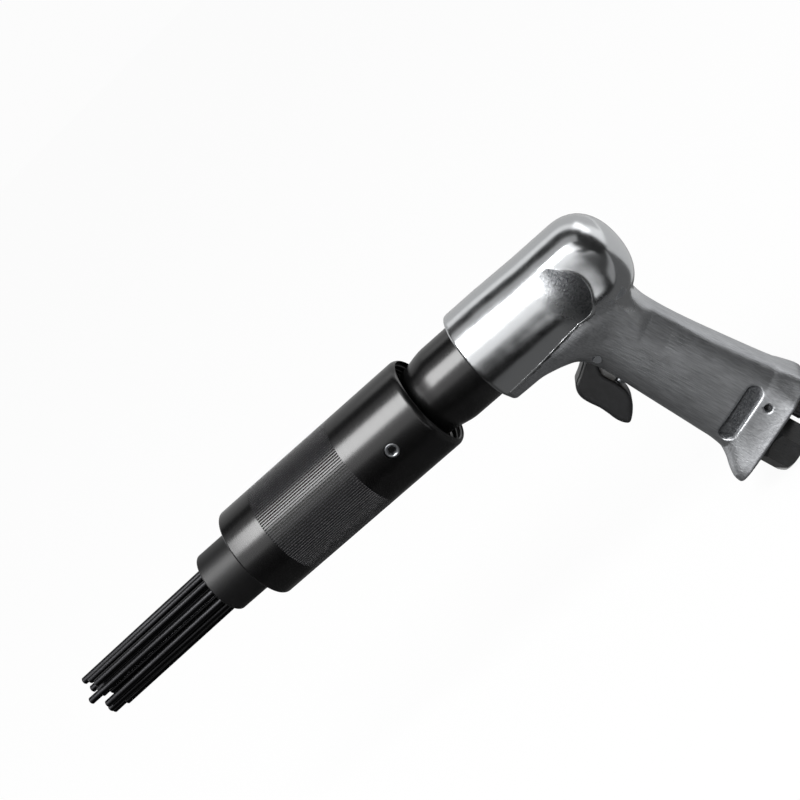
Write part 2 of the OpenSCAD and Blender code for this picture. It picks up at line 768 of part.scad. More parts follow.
module panel_outline() {
    half_w = panel_w / 2 - panel_r;
    half_l = panel_l / 2 - panel_r;
    for (a = [-1, 1])
        for (b = [-1, 1])
            translate([a * half_w, b * half_l]) circle(r = panel_r, $fn = turn_facets);
    square([panel_w, 2 * half_l], center = true);
    square([2 * half_w, panel_l], center = true);
}

// Places in the grip
bush_port_share = 0.3;
pocket_wall = 0.5;
screen_gap = 0.4;
riser_offset = 2.8;
bush_front_u = bush_u - bush_l;
throttle_stroke = (pivot_h - throttle_h) * tan(trigger_swing);
stem_reach = throttle_stroke + stem_spare;
bush_port_u = bush_u - bush_l * bush_port_share;
spring_end_u = bush_u + spring_bore_l;
pocket_u = bush_front_u - pocket_wall;
slot_w = trigger_w + 2 * slot_clear;
retainer_u = regulator_u - groove_d / 2 - retainer_d / 2 - 2 * run_clear;
inlet_chamber_h = inlet_shank_l + screen_l + screen_gap;
cross_way_h = inlet_chamber_h + cross_way_wall + way_d / 2;
riser_u = regulator_u - riser_offset;

// A drilled way in the grip's middle plane from point to point
module drilled(d, from, to) {
    run = to - from;
    translate([from[0], 0, from[1]]) rotate([0, atan2(run[0], run[1]), 0])
        cylinder(d = d, h = norm(run), $fn = turn_facets);
}

// Point of the air chamber behind the valve, in the grip's frame
chamber_run_x = valve_rear_x + air_chamber_l / 2 - housing_x - toe_x;
chamber_drop = air_chamber_d / 4;
chamber_u = chamber_run_x * cos(grip_rake) + (toe_drop - chamber_drop) * sin(grip_rake);
chamber_h = (toe_drop - chamber_drop) * cos(grip_rake) - chamber_run_x * sin(grip_rake);

// Slot for the trigger: room for the hub and arm, and a shallow pocket for the blade
module trigger_slot() {
    hub_r = hub_d / 2 + slot_clear;
    translate([0, slot_w / 2, 0]) rotate([90, 0, 0]) linear_extrude(slot_w) {
        translate([pivot_u, pivot_h]) circle(r = hub_r, $fn = turn_facets);
        translate([pivot_u - grip_depth, pivot_h - hub_r]) square([grip_depth, 2 * hub_r]);
        translate([pocket_u - grip_depth, pivot_h - trigger_h - 2 * slot_clear])
            square([grip_depth, trigger_h]);
    }
}

// Handle: cast cylinder housing, head and grip in one piece, with its bores
module handle_housing() {
    bore_d = barrel_d + 2 * run_clear;
    color("#c9cbce") difference() {
        union() {
            flanks();
            head();
            in_grip() grip_body();
        }
        rod_x(bore_d, housing_x - overrun, valve_rear_x);
        rod_x(air_chamber_d, valve_rear_x - overrun, valve_rear_x + air_chamber_l);
        in_grip() {
            trigger_slot();
            rod_y(pivot_d + 2 * seat_clear, pivot_u, pivot_h, 2 * grip_w);
            rod_u(bush_d + 2 * seat_clear, throttle_h, -grip_depth, bush_u);
            rod_u(spring_bore_d, throttle_h, bush_u - overrun, spring_end_u);
            drilled(way_d, [bush_port_u, throttle_h], [chamber_u, chamber_h]);
            rod_h(inlet_shank_d + 2 * seat_clear, inlet_u, -overrun, inlet_chamber_h);
            rod_h(way_d, inlet_u, inlet_chamber_h - overrun, cross_way_h + way_d);
            rod_u(way_d, cross_way_h, inlet_u, regulator_u);
            rod_h(regulator_stem_d + 2 * run_clear, regulator_u, -overrun, regulator_stem_l + stop_gap);
            rod_h(way_d, riser_u, cross_way_h, throttle_h);
            rod_y(retainer_d + 2 * seat_clear, retainer_u, retainer_h, 2 * grip_w);
            side_panels();
        }
    }
}

// Outline of the trigger: places in front of its rear face and below its pivot,
// as shares of the blade's depth and height
trigger_shares = [
    [0.36, 0.1], [0.62, 0.12], [0.82, 0.19], [0.93, 0.29], [0.95, 0.42], [0.93, 0.56],
    [0.96, 0.7], [1, 0.82], [0.98, 0.93], [0.9, 1], [0.76, 1], [0.5, 0.95], [0.24, 0.87],
    [0.06, 0.74], [0, 0.58], [0, 0.4], [-0.1, 0.3], [-0.4, 0.16]
];
trigger_rear_u = bush_front_u - stem_reach - stop_gap;

// Trigger: finger blade on an arm that swings on the pivot pin
module trigger() {
    hub_top = pivot_h + hub_d / 2;
    color("#141416") in_grip() difference() {
        translate([0, trigger_w / 2, 0]) rotate([90, 0, 0]) linear_extrude(trigger_w) {
            translate([pivot_u, pivot_h]) circle(d = hub_d, $fn = turn_facets);
            polygon(concat(
                [[pivot_u, pivot_h - hub_d / 2], [pivot_u, pivot_h + hub_d / 2]],
                [for (s = trigger_shares)
                    [trigger_rear_u - s[0] * trigger_depth, hub_top - s[1] * (trigger_h + hub_d / 2)]]
            ));
        }
        rod_y(pivot_d + 2 * run_clear, pivot_u, pivot_h, 2 * trigger_w);
    }
}

module trigger_pin() {
    color("#8d9094") in_grip() rod_y(pivot_d, pivot_u, pivot_h, pivot_l);
}

// Throttle bush: guide for the stem, with cross ports and a seat at its inner end
module throttle_bush() {
    guide_share = 0.4;
    guide_end_u = bush_front_u + bush_l * guide_share;
    color("#b08d57") in_grip() difference() {
        rod_u(bush_d, throttle_h, bush_front_u, bush_u);
        rod_u(stem_d + 2 * run_clear, throttle_h, bush_front_u - overrun, bush_u);
        rod_u((stem_d + valve_head_d) / 2, throttle_h, guide_end_u, bush_u + overrun);
        rod_h(way_d, bush_port_u, throttle_h, throttle_h + bush_d);
    }
}

// Throttle stem with the valve head that the spring holds on the bush's seat
module throttle_stem() {
    head_u = bush_u + stop_gap;
    tip_u = bush_front_u - stem_reach;
    color("#9a9da1") in_grip() {
        rod_u(stem_d, throttle_h, tip_u, head_u);
        rod_u(valve_head_d, throttle_h, head_u, head_u + valve_head_t);
    }
}

// Throttle spring behind the valve head
module throttle_spring() {
    from_u = bush_u + stop_gap + valve_head_t + seat_clear;
    color("#8d9094") in_grip() translate([from_u, 0, throttle_h])
        coil(spring_end_u - from_u - seat_clear, throttle_wire, throttle_turns, throttle_mean_d);
}

// Air inlet bushing: shank in the grip, neck, hexagon and the threaded hole for the hose
module inlet_bushing() {
    hex_top = -inlet_neck_l;
    hex_end = hex_top - inlet_hex_l;
    corner_d = inlet_hex / cos(30);
    color("#1a1a1c") in_grip() difference() {
        union() {
            rod_h(inlet_shank_d, inlet_u, hex_top - overrun, inlet_shank_l);
            intersection() {
                translate([inlet_u, 0, hex_end]) cylinder(d = corner_d, h = inlet_hex_l, $fn = 6);
                translate([inlet_u, 0, hex_end]) hex_rounding(corner_d / 2);
            }
        }
        rod_h(inlet_thread_d, inlet_u, hex_end - overrun, hex_end + inlet_thread_l);
        rod_h(inlet_way_d, inlet_u, hex_end, inlet_shank_l + overrun);
    }
}

// Turned envelope that chamfers the corners of the hexagon at both ends
module hex_rounding(corner_r) {
    flat_r = corner_r * cos(30);
    chamfer = corner_r - flat_r;
    rotate_extrude($fn = turn_facets) polygon([
        [0, 0], [flat_r, 0], [corner_r, chamfer], [corner_r, inlet_hex_l - chamfer],
        [flat_r, inlet_hex_l], [0, inlet_hex_l]
    ]);
}

// Strainer cup at the inner end of the bushing
screen_holes = 6;
module inlet_screen() {
    cup_d = inlet_shank_d - 2 * screen_gap;
    hole_d = (cup_d - inlet_way_d) / 3;
    color("#c2a55a") in_grip() translate([inlet_u, 0, inlet_shank_l]) difference() {
        cylinder(d = cup_d, h = screen_l, $fn = turn_facets);
        translate([0, 0, -overrun])
            cylinder(d = cup_d - 2 * screen_wall, h = screen_l - screen_wall + overrun, $fn = turn_facets);
        cylinder(d = hole_d, h = screen_l + overrun, $fn = turn_facets);
        for (i = [0 : screen_holes - 1])
            rotate([0, 0, 360 * i / screen_holes]) translate([cup_d / 4 + hole_d / 4, 0, 0])
                cylinder(d = hole_d, h = screen_l + overrun, $fn = turn_facets);
    }
}

// Flow regulator: fluted knob under the grip on a stem with groove, seal groove and metering port
module regulator_knob() {
    seal_h = regulator_seal_h;
    stem_r = regulator_stem_d / 2;
    groove_r = stem_r - regulator_seal_d + run_clear;
    chamfer = knob_l / 10;
    knob_r = knob_d / 2;
    flute_r = knob_d / 11;
    color("#1a1a1c") in_grip() translate([regulator_u, 0, 0]) difference() {
        rotate_extrude($fn = turn_facets) polygon([
            [0, -knob_l], [knob_r - chamfer, -knob_l],
            [knob_r, chamfer - knob_l], [knob_r, -stop_gap - chamfer],
            [knob_r - chamfer, -stop_gap], [stem_r, -stop_gap], [stem_r, retainer_h - groove_w / 2],
            [groove_d / 2, retainer_h - groove_w / 2], [groove_d / 2, retainer_h + groove_w / 2],
            [stem_r, retainer_h + groove_w / 2], [stem_r, seal_h - regulator_seal_d / 2 - run_clear],
            [groove_r, seal_h - regulator_seal_d / 2 - run_clear],
            [groove_r, seal_h + regulator_seal_d / 2 + run_clear],
            [stem_r, seal_h + regulator_seal_d / 2 + run_clear],
            [stem_r, regulator_stem_l], [0, regulator_stem_l]
        ]);
        rod_u(metering_d, cross_way_h, -knob_d, 0);
        rod_h(metering_d, 0, cross_way_h, regulator_stem_l + overrun);
        translate([0, 0, -knob_l]) cube([knob_slot_w, 2 * knob_d, 2 * knob_slot_depth], center = true);
        for (i = [0 : knob_flutes - 1])
            rotate([0, 0, 360 * i / knob_flutes]) translate([knob_r + flute_r / 2, 0, -knob_l - overrun])
                cylinder(r = flute_r, h = knob_l - stop_gap - chamfer + overrun, $fn = 24);
    }
}

regulator_seal_h = retainer_h + groove_w / 2 + regulator_seal_d;
module regulator_seal() {
    mid_r = (regulator_stem_d - regulator_seal_d) / 2 + run_clear;
    color("#101010") in_grip() translate([regulator_u, 0, regulator_seal_h])
        rotate_extrude($fn = turn_facets) translate([mid_r, 0])
            circle(d = regulator_seal_d - 2 * seat_clear, $fn = 24);
}

module regulator_pin() {
    color("#3a3b3d") in_grip() rod_y(retainer_d, retainer_u, retainer_h, retainer_l);
}

handle_housing();
cylinder_barrel();
knurled_sleeve();
nose_tube();
set_screws();
needle_holder();
anvil();
return_spring();
piston();
buffer_ring();
barrel_seal();
valve_block();
valve_plate();
valve_cap();
valve_dowel();
trigger();
trigger_pin();
throttle_bush();
throttle_stem();
throttle_spring();
inlet_bushing();
inlet_screen();
regulator_knob();
regulator_seal();
regulator_pin();
for (i = [0 : needle_count - 1])
    needle(i);
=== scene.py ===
import math

import bmesh
import bpy
import numpy as np
from mathutils import Matrix, Vector


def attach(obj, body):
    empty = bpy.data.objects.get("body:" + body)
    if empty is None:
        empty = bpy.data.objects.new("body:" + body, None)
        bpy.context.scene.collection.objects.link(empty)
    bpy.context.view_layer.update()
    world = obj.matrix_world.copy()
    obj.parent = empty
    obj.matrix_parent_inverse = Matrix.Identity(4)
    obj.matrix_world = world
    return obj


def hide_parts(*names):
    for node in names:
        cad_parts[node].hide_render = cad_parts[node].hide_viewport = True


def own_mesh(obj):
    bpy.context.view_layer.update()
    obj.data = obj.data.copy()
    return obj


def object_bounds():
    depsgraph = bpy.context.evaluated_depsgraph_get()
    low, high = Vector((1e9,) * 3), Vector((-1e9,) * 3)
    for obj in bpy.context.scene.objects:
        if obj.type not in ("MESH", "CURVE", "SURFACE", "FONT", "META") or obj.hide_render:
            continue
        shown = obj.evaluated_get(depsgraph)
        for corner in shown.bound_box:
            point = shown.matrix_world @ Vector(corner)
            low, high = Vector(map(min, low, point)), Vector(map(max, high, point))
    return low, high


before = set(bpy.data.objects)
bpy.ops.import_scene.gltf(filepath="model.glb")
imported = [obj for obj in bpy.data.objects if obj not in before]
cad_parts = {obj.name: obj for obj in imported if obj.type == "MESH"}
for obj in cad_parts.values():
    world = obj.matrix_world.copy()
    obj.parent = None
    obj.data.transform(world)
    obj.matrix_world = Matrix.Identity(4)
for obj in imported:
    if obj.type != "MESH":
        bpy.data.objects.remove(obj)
cad_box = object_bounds()

# Handle and cylinder housing: one aluminium casting with a domed head over a raked grip.
# The head is buffed bright, the grip is only linished, and the sunk panel keeps its cast skin, painted dark
# grey as shade in its recess.
# Bored from the front for the barrel, and drilled for the valve, trigger, inlet and regulator.

# Sizes are in mm. A U is a place along the grip's end from its toe, and an H a height above that end
RAKE = math.radians(16.8)
TOE = (157.6, -100.0)


def in_grip(x, z):
    """Places along and above the grip's end, in mm, from places in the tool's frame."""
    dx = x - TOE[0]
    dz = z - TOE[1]
    return dx * math.cos(RAKE) + dz * math.sin(RAKE), dz * math.cos(RAKE) - dx * math.sin(RAKE)


def ramp(value, start, end):
    """0 up to the start, 1 from the end on, and straight between them."""
    return np.clip((value - start) / (end - start), 0, 1)


def joined(a, b, fillet):
    """Two solids run together with a fillet of about that size."""
    share = np.clip(0.5 + 0.5 * (b - a) / fillet, 0, 1)
    return b + (a - b) * share - fillet * share * (1 - share)


def cut_out(a, b, edge):
    """Solid a with b taken out of it and the new edge broken."""
    return -joined(-a, b, edge)


def rounded(a, b, radius):
    """Corner of two flat sides, rounded to a radius."""
    return (np.minimum(np.maximum(a, b) + radius, 0)
            + np.hypot(np.maximum(a + radius, 0), np.maximum(b + radius, 0)) - radius)


def along(stations, column, h):
    """Smooth curve through one column of the grip's stations."""
    at, value = stations[:, 0], stations[:, column]
    slope = np.gradient(value, at)
    i = np.clip(np.searchsorted(at, h) - 1, 0, len(at) - 2)
    run = at[i + 1] - at[i]
    t = np.clip((h - at[i]) / run, 0, 1)
    return ((2 * t**3 - 3 * t**2 + 1) * value[i] + (t**3 - 2 * t**2 + t) * run * slope[i]
            + (3 * t**2 - 2 * t**3) * value[i + 1] + (t**3 - t**2) * run * slope[i + 1])


def oval_depth(a, b, half_a, half_b, power):
    """Depth under a squared-off oval, taken along the ray from its middle."""
    full = ((np.abs(a) / half_a) ** power + (np.abs(b) / half_b) ** power) ** (1 / power)
    return np.hypot(a, b) * (1 - 1 / np.maximum(full, 1e-3))


GRIP_LENGTH = 95.73
GRIP_DEPTH = 46.0
GRIP_WIDTH = 25.0
# Height, front, rear and half width, as shares of the grip's length, depth, depth and width
GRIP_STATIONS = np.array([
    [0, 0.004, 0.99, 0.646], [0.012, 0.005, 0.993, 0.629], [0.028, 0.012, 0.995, 0.609],
    [0.055, 0.046, 0.991, 0.58], [0.085, 0.1, 0.984, 0.556], [0.12, 0.146, 0.978, 0.536],
    [0.17, 0.172, 0.966, 0.517], [0.25, 0.185, 0.95, 0.504], [0.36, 0.2, 0.93, 0.5],
    [0.47, 0.214, 0.911, 0.5], [0.57, 0.228, 0.9, 0.504], [0.65, 0.24, 0.899, 0.512],
    [0.71, 0.242, 0.908, 0.524], [0.76, 0.228, 0.938, 0.542], [0.8, 0.186, 0.985, 0.566],
    [0.835, 0.11, 1.03, 0.584], [0.87, 0.03, 1.07, 0.58], [0.92, -0.02, 1.1, 0.54],
]) * [GRIP_LENGTH, GRIP_DEPTH, GRIP_DEPTH, GRIP_WIDTH]
# How square the grip's oval is, and how much squarer it gets towards its end
GRIP_POWER = 2.9
END_POWER = 2.6
END_H = (12, 3)
# Soft ridge where the flat sides turn to the back of the grip
RIDGE_U = 36.4
RIDGE_FORWARD = 5.4
RIDGE_FORWARD_H = (33, 53)
RIDGE_BACK = 12
RIDGE_BACK_H = (62, 74)
RIDGE_LEAN = math.radians(31)
RIDGE_EDGE = 1.4


def grip_skin(x, y, z):
    """The grip's oval, cut back behind the ridge on each side."""
    u, h = in_grip(x, z)
    front = along(GRIP_STATIONS, 1, h)
    rear = along(GRIP_STATIONS, 2, h)
    half = along(GRIP_STATIONS, 3, h)
    power = GRIP_POWER + END_POWER * ramp(h, *END_H)
    grip = oval_depth(u - (front + rear) / 2, y, (rear - front) / 2, half, power)
    ridge = RIDGE_U - RIDGE_FORWARD * ramp(h, *RIDGE_FORWARD_H) + RIDGE_BACK * ramp(h, *RIDGE_BACK_H)
    behind = (np.abs(y) - half) * math.cos(RIDGE_LEAN) + (u - ridge) * math.sin(RIDGE_LEAN)
    return cut_out(grip, -behind, RIDGE_EDGE)


PANEL_U = 23.9
PANEL_H = 15.3
PANEL_HALF = 8.9
PANEL_R = 3.1


def sunk_panel(x, z):
    """Outline of the round-ended panel near the grip's end."""
    u, h = in_grip(x, z)
    return np.hypot(np.maximum(np.abs(u - PANEL_U) - PANEL_HALF, 0), h - PANEL_H) - PANEL_R


HEAD_R = 19.7
FACE_X = 118.2
FACE_EDGE = 1.0
FLANK_END_X = 158.8
DRAWN_SHARE = 0.026
DRAWN_X = (132, 152)


def drawn_in(x, z):
    """Height on the cylinder, with its top drawn in a little towards the rear."""
    return z * (1 + DRAWN_SHARE * ramp(x, *DRAWN_X) * (z > 0))


def flank_skin(x, y, z):
    """The cylinder, run on into the round end of each flank."""
    ball = np.hypot(np.hypot(y, drawn_in(x, z)), np.maximum(x - FLANK_END_X, 0))
    return rounded(ball - HEAD_R, FACE_X - x, FACE_EDGE)


PANEL_DEPTH = 1.15
PANEL_EDGE = 0.5
END_EDGE = 0.6
GRIP_TOP_H = 88.0
# The web carries the cylinder down into the grip
WEB_Y = 13.45
WEB_SPREAD = 2.3
WEB_SPREAD_X = (119, 157)
WEB_LOW_Z = -19.4
WEB_TOP_Z = -4
WEB_FACE_X = 118.5
WEB_FACE_EDGE = 2.0
WEB_BACK_X = 161
WEB_CORNER = 6.0
WEB_FILLET = 5.0
# The head is the cylinder run on into a dome, with its sides cut back
HEAD_START_X = 157
DOME_X = 169.5
DOME_LENGTH = 16.8
DOME_POWER = 2.35
SIDE_Y = 16.5
SIDE_EDGE = 3.0
HEAD_FILLET = 1.5


def behind_flanks(x, y, z):
    """Grip, web and head, without the two flanks."""
    _, h = in_grip(x, z)
    grip = grip_skin(x, y, z)
    grip = cut_out(grip, np.maximum(sunk_panel(x, z), -PANEL_DEPTH - grip), PANEL_EDGE)
    grip = rounded(grip, -h, END_EDGE)
    grip = np.maximum(grip, h - GRIP_TOP_H)
    width = WEB_Y + WEB_SPREAD * ramp(x, *WEB_SPREAD_X)
    web = rounded(np.abs(y) - width, WEB_LOW_Z - z, WEB_CORNER)
    web = rounded(web, WEB_FACE_X - x, WEB_FACE_EDGE)
    web = np.maximum(cut_out(web, WEB_BACK_X - x, WEB_CORNER), z - WEB_TOP_Z)
    lower = joined(web, grip, WEB_FILLET)
    run = np.maximum(x - DOME_X, 0)
    round_r = np.hypot(y, drawn_in(x, z))
    full = ((run / DOME_LENGTH) ** DOME_POWER + (round_r / HEAD_R) ** DOME_POWER) ** (1 / DOME_POWER)
    dome = np.hypot(round_r, run) * (1 - 1 / np.maximum(full, 1e-3))
    head = cut_out(dome, SIDE_Y - np.abs(y), SIDE_EDGE)
    head = np.maximum(head, HEAD_START_X - x)
    return joined(lower, head, HEAD_FILLET)


# The flank stands out from the cut-back side, and fades into the dome between two angles in degrees
FLANK_FILLETS = (0.02, 0.5)
FLANK_FADE = (36, 28)
# Bores, as a radius and the place where each one ends
BARREL_BORE = (16.25, 166.2)
CHAMBER_BORE = (8.0, 173.2)
BUSH_BORE = (6.02, 24.0)
VALVE_BORE = (4.6, 35.0)
INLET_BORE = (6.57, 14.4)
REGULATOR_BORE = (4.05, 21.3)
BORE_EDGE = 0.5
THROTTLE_H = 57.0
INLET_U = 18.3
REGULATOR_U = 35.3
# Slot and shallow pocket for the trigger, and the pins
HUB = (15.7, 71.3)
SLOT_R = 4.2
SLOT_Y = 5.4
POCKET_H = 58.0
POCKET_HALF = 12.5
POCKET_U = 12.0
CROSS_PIN = (31.1, 8.1)
CROSS_PIN_EDGE = 0.12
PIN_HOLE_R = 1.52
HOLE_EDGE = 0.35


def casting(x, y, z):
    """The whole casting: below 0 inside the metal, and 0 on its skin."""
    u, h = in_grip(x, z)
    lift = np.degrees(np.arctan2(drawn_in(x, z), np.abs(y) + 1e-6))
    fillet = FLANK_FILLETS[0] + FLANK_FILLETS[1] * ramp(lift, *FLANK_FADE)
    solid = joined(behind_flanks(x, y, z), flank_skin(x, y, z), fillet)
    for radius, end in (BARREL_BORE, CHAMBER_BORE):
        solid = cut_out(solid, np.maximum(np.hypot(y, z) - radius, x - end), BORE_EDGE)
    to_hub = np.hypot(u - HUB[0], h - HUB[1])
    slot = np.minimum(to_hub - SLOT_R, np.maximum(np.abs(h - HUB[1]) - SLOT_R, u - HUB[0]))
    slot = np.minimum(slot, np.maximum(np.abs(h - POCKET_H) - POCKET_HALF, u - POCKET_U))
    solid = cut_out(solid, np.maximum(np.abs(y) - SLOT_Y, slot), BORE_EDGE)
    across = np.hypot(y, h - THROTTLE_H)
    for hole in (
        to_hub - PIN_HOLE_R,
        np.maximum(across - BUSH_BORE[0], u - BUSH_BORE[1]),
        np.maximum(across - VALVE_BORE[0], u - VALVE_BORE[1]),
        np.maximum(np.hypot(u - INLET_U, y) - INLET_BORE[0], h - INLET_BORE[1]),
        np.maximum(np.hypot(u - REGULATOR_U, y) - REGULATOR_BORE[0], h - REGULATOR_BORE[1]),
    ):
        solid = cut_out(solid, hole, HOLE_EDGE)
    return cut_out(solid, np.hypot(u - CROSS_PIN[0], h - CROSS_PIN[1]) - PIN_HOLE_R, CROSS_PIN_EDGE)


def placed(name, data):
    """Puts a mesh, curve, lamp or camera into the scene."""
    item = bpy.data.objects.new(name, data)
    bpy.context.scene.collection.objects.link(item)
    return item


def skin_mesh(name, field, low, high, step):
    """Closed skin of a solid: one point in each crossed cell, pulled onto the surface."""
    counts = [int(math.ceil((b - a) / step)) + 1 for a, b in zip(low, high)]
    xs, ys, zs = (a + step * np.arange(n) for a, n in zip(low, counts))
    gy, gz = np.meshgrid(ys, zs, indexing="ij")
    grid = np.stack([field(np.full_like(gy, x), gy, gz) for x in xs])
    inside = grid < 0
    crossed = np.zeros([n - 1 for n in counts], np.int8)
    for i, j, k in np.ndindex(2, 2, 2):
        crossed += inside[i:counts[0] - 1 + i, j:counts[1] - 1 + j, k:counts[2] - 1 + k]
    cells = np.argwhere((crossed > 0) & (crossed < 8))
    number = np.full(crossed.shape, -1)
    number[tuple(cells.T)] = np.arange(len(cells))
    total = np.zeros((len(cells), 3))
    hits = np.zeros(len(cells))
    quads = []
    for axis in range(3):
        one, two = (axis + 1) % 3, (axis + 2) % 3
        # The point of a cell starts at the mean of the places where its edges are crossed
        for j, k in np.ndindex(2, 2):
            start = cells.copy()
            start[:, one] += j
            start[:, two] += k
            end = start.copy()
            end[:, axis] += 1
            a, b = grid[tuple(start.T)], grid[tuple(end.T)]
            cross = (a < 0) != (b < 0)
            place = start[cross].astype(float)
            place[:, axis] += a[cross] / (a[cross] - b[cross])
            total[cross] += place
            hits[cross] += 1
        # Each crossed edge gives a face between the four cells round it
        here = np.take(inside, range(counts[axis] - 1), axis)
        there = np.take(inside, range(1, counts[axis]), axis)
        edges = np.argwhere(here != there)
        edges = edges[(edges[:, one] > 0) & (edges[:, two] > 0)]
        ring = []
        for j, k in ((1, 1), (0, 1), (0, 0), (1, 0)):
            cell = edges.copy()
            cell[:, one] -= j
            cell[:, two] -= k
            ring.append(number[tuple(cell.T)])
        ring = np.stack(ring, 1)
        outward = here[tuple(edges.T)]
        quads.append(np.where(outward[:, None], ring, ring[:, ::-1]))
    points = np.array(low) + step * total / hits[:, None]
    # Three pulls onto the surface, none of them longer than a share of the step
    reach, longest, flattest = 0.06, 0.4 * step, 0.2
    for _ in range(3):
        x, y, z = points.T
        value = field(x, y, z)
        slope = np.stack([
            field(x + reach, y, z) - field(x - reach, y, z),
            field(x, y + reach, z) - field(x, y - reach, z),
            field(x, y, z + reach) - field(x, y, z - reach),
        ], 1) / (2 * reach)
        move = -slope * (value / np.maximum((slope**2).sum(1), flattest))[:, None]
        far = np.maximum(np.linalg.norm(move, axis=1) / longest, 1)
        points = points + move / far[:, None]
    mesh = bpy.data.meshes.new(name)
    mesh.from_pydata((points / 1000).tolist(), [], np.concatenate(quads).tolist())
    mesh.polygons.foreach_set("use_smooth", [True] * len(mesh.polygons))
    mesh.update()
    return placed(name, mesh), points


def linear(hex_colour):
    """Linear colour of an sRGB hex value."""
    parts = [int(hex_colour[i:i + 2], 16) / 255 for i in (1, 3, 5)]
    return [c / 12.92 if c <= 0.04045 else ((c + 0.055) / 1.055) ** 2.4 for c in parts] + [1.0]


def put(tree, kind, inputs=None, **settings):
    """Adds a node with its settings, and sets or links its inputs."""
    node = tree.nodes.new(kind)
    for name, value in settings.items():
        setattr(node, name, value)
    for socket, value in (inputs or {}).items():
        if isinstance(value, bpy.types.NodeSocket):
            tree.links.new(value, node.inputs[socket])
        else:
            node.inputs[socket].default_value = value
    return node


def new_finish(name):
    """A material, its tree, its shader and the place in mm that its patterns read."""
    material = bpy.data.materials.new(name)
    material.use_nodes = True
    tree = material.node_tree
    shader = tree.nodes["Principled BSDF"]
    coords = put(tree, "ShaderNodeTexCoord")
    place = put(tree, "ShaderNodeMapping", {"Vector": coords.outputs["Object"], "Scale": (1000, 1000, 1000)})
    return material, tree, shader, place.outputs["Vector"]


HANDLE_BOX = ((116.0, -21.0, -102.0), (204.0, 21.0, 21.5))
handle_step = 0.62
handle, spots = skin_mesh("handle_casting", casting, *HANDLE_BOX, handle_step)
sx, sy, sz = spots.T
_, above_h = in_grip(sx, sz)
on_flank = flank_skin(sx, sy, sz)
# How far the wheel has gone: 0 buffed bright, 1 linished on the grip, and on the web clear of the flanks
GRIP_FADE_H = (74, 62)
GRIP_FADE_Z = (-12, -18)
WEB_FADE_Z = (-9, -12)
CLEAR_OF_FLANK = 0.6
WEB_REAR_X = 172
linished = ramp(above_h, *GRIP_FADE_H) * ramp(sz, *GRIP_FADE_Z)
on_web = (on_flank > CLEAR_OF_FLANK) * (sx < WEB_REAR_X) * ramp(sz, *WEB_FADE_Z)
linished = np.maximum(linished, on_web)
# Where the sand-cast skin is left and painted dark grey: in the sunk panel, where the grey is painted shade
# in the recess, and on the turned-in end of each flank, where it is a painted dark reflection
PANEL_RIM = (0.6, -0.2)
PANEL_SIDE_Y = 8
PANEL_TOP_H = 30
SKIN_DEPTH = (-0.25, -0.75)
END_FADE_Y = (12, 15.5)
END_FADE_X = (150, 162)
END_TOP_Z = 12.5
CLOSE_TO_FLANK = 0.12
panel_skin_and_shade = ramp(sunk_panel(sx, sz), *PANEL_RIM) * (np.abs(sy) > PANEL_SIDE_Y) * (above_h < PANEL_TOP_H)
panel_skin_and_shade = panel_skin_and_shade * ramp(grip_skin(sx, sy, sz), *SKIN_DEPTH)
flank_end = ramp(np.abs(sy), *END_FADE_Y) * ramp(sx, *END_FADE_X)
flank_end = flank_end * (np.abs(on_flank) < CLOSE_TO_FLANK) * (sz < END_TOP_Z)
for layer, values in (("linished", linished), ("cast_skin_and_painted_shade", np.maximum(panel_skin_and_shade, flank_end))):
    painted = handle.data.attributes.new(layer, "FLOAT", "POINT")
    painted.data.foreach_set("value", values.astype(np.float32))

# Buffed cast aluminium: mirror-like with slow waves from the wheel, and a rough grain where the casting was
# never touched, its dark grey painted shade in the panel and a painted dark reflection on each flank's end.
# Grit lines are drawn 0.5 mm wide and sand grains 0.9 mm, so that they show.
GRIT_LINE = (0.5, 0.5, 6.0)
GRAINS_PER_MM = 1.15
WAVES_PER_MM = 0.09
CLOUDS_PER_MM = 0.22
cast_aluminium, tree, shader, place = new_finish("buffed_cast_aluminium")
worked = put(tree, "ShaderNodeAttribute", attribute_name="linished").outputs["Fac"]
raw_and_painted_shade = put(tree, "ShaderNodeAttribute", attribute_name="cast_skin_and_painted_shade").outputs["Fac"]
stretch = put(tree, "ShaderNodeMapping", {"Vector": place, "Rotation": (0, -RAKE, 0), "Scale": GRIT_LINE},
              vector_type="TEXTURE")
grit = put(tree, "ShaderNodeTexNoise", {"Vector": stretch.outputs["Vector"], "Scale": 1.0, "Detail": 4.0})
grain = put(tree, "ShaderNodeTexNoise",
            {"Vector": place, "Scale": GRAINS_PER_MM, "Detail": 5.0, "Roughness": 0.7})
wave = put(tree, "ShaderNodeTexNoise", {"Vector": place, "Scale": WAVES_PER_MM, "Detail": 1.0})
cloud = put(tree, "ShaderNodeTexNoise", {"Vector": place, "Scale": CLOUDS_PER_MM, "Detail": 3.0})
speck = put(tree, "ShaderNodeMath", {0: grain.outputs["Fac"], 1: 0.7, 2: raw_and_painted_shade}, operation="MULTIPLY_ADD")
raw_and_painted_shade = put(tree, "ShaderNodeMapRange", {0: speck.outputs[0], 1: 0.5, 2: 1.5, 3: 0.0, 4: 1.0}).outputs[0]
satin = put(tree, "ShaderNodeMix", {0: grit.outputs["Fac"], 6: linear("#9a9c9f"), 7: linear("#e6e8eb")},
            data_type="RGBA")
bright = put(tree, "ShaderNodeMix", {0: worked, 6: linear("#dcdee0"), 7: satin.outputs[2]}, data_type="RGBA")
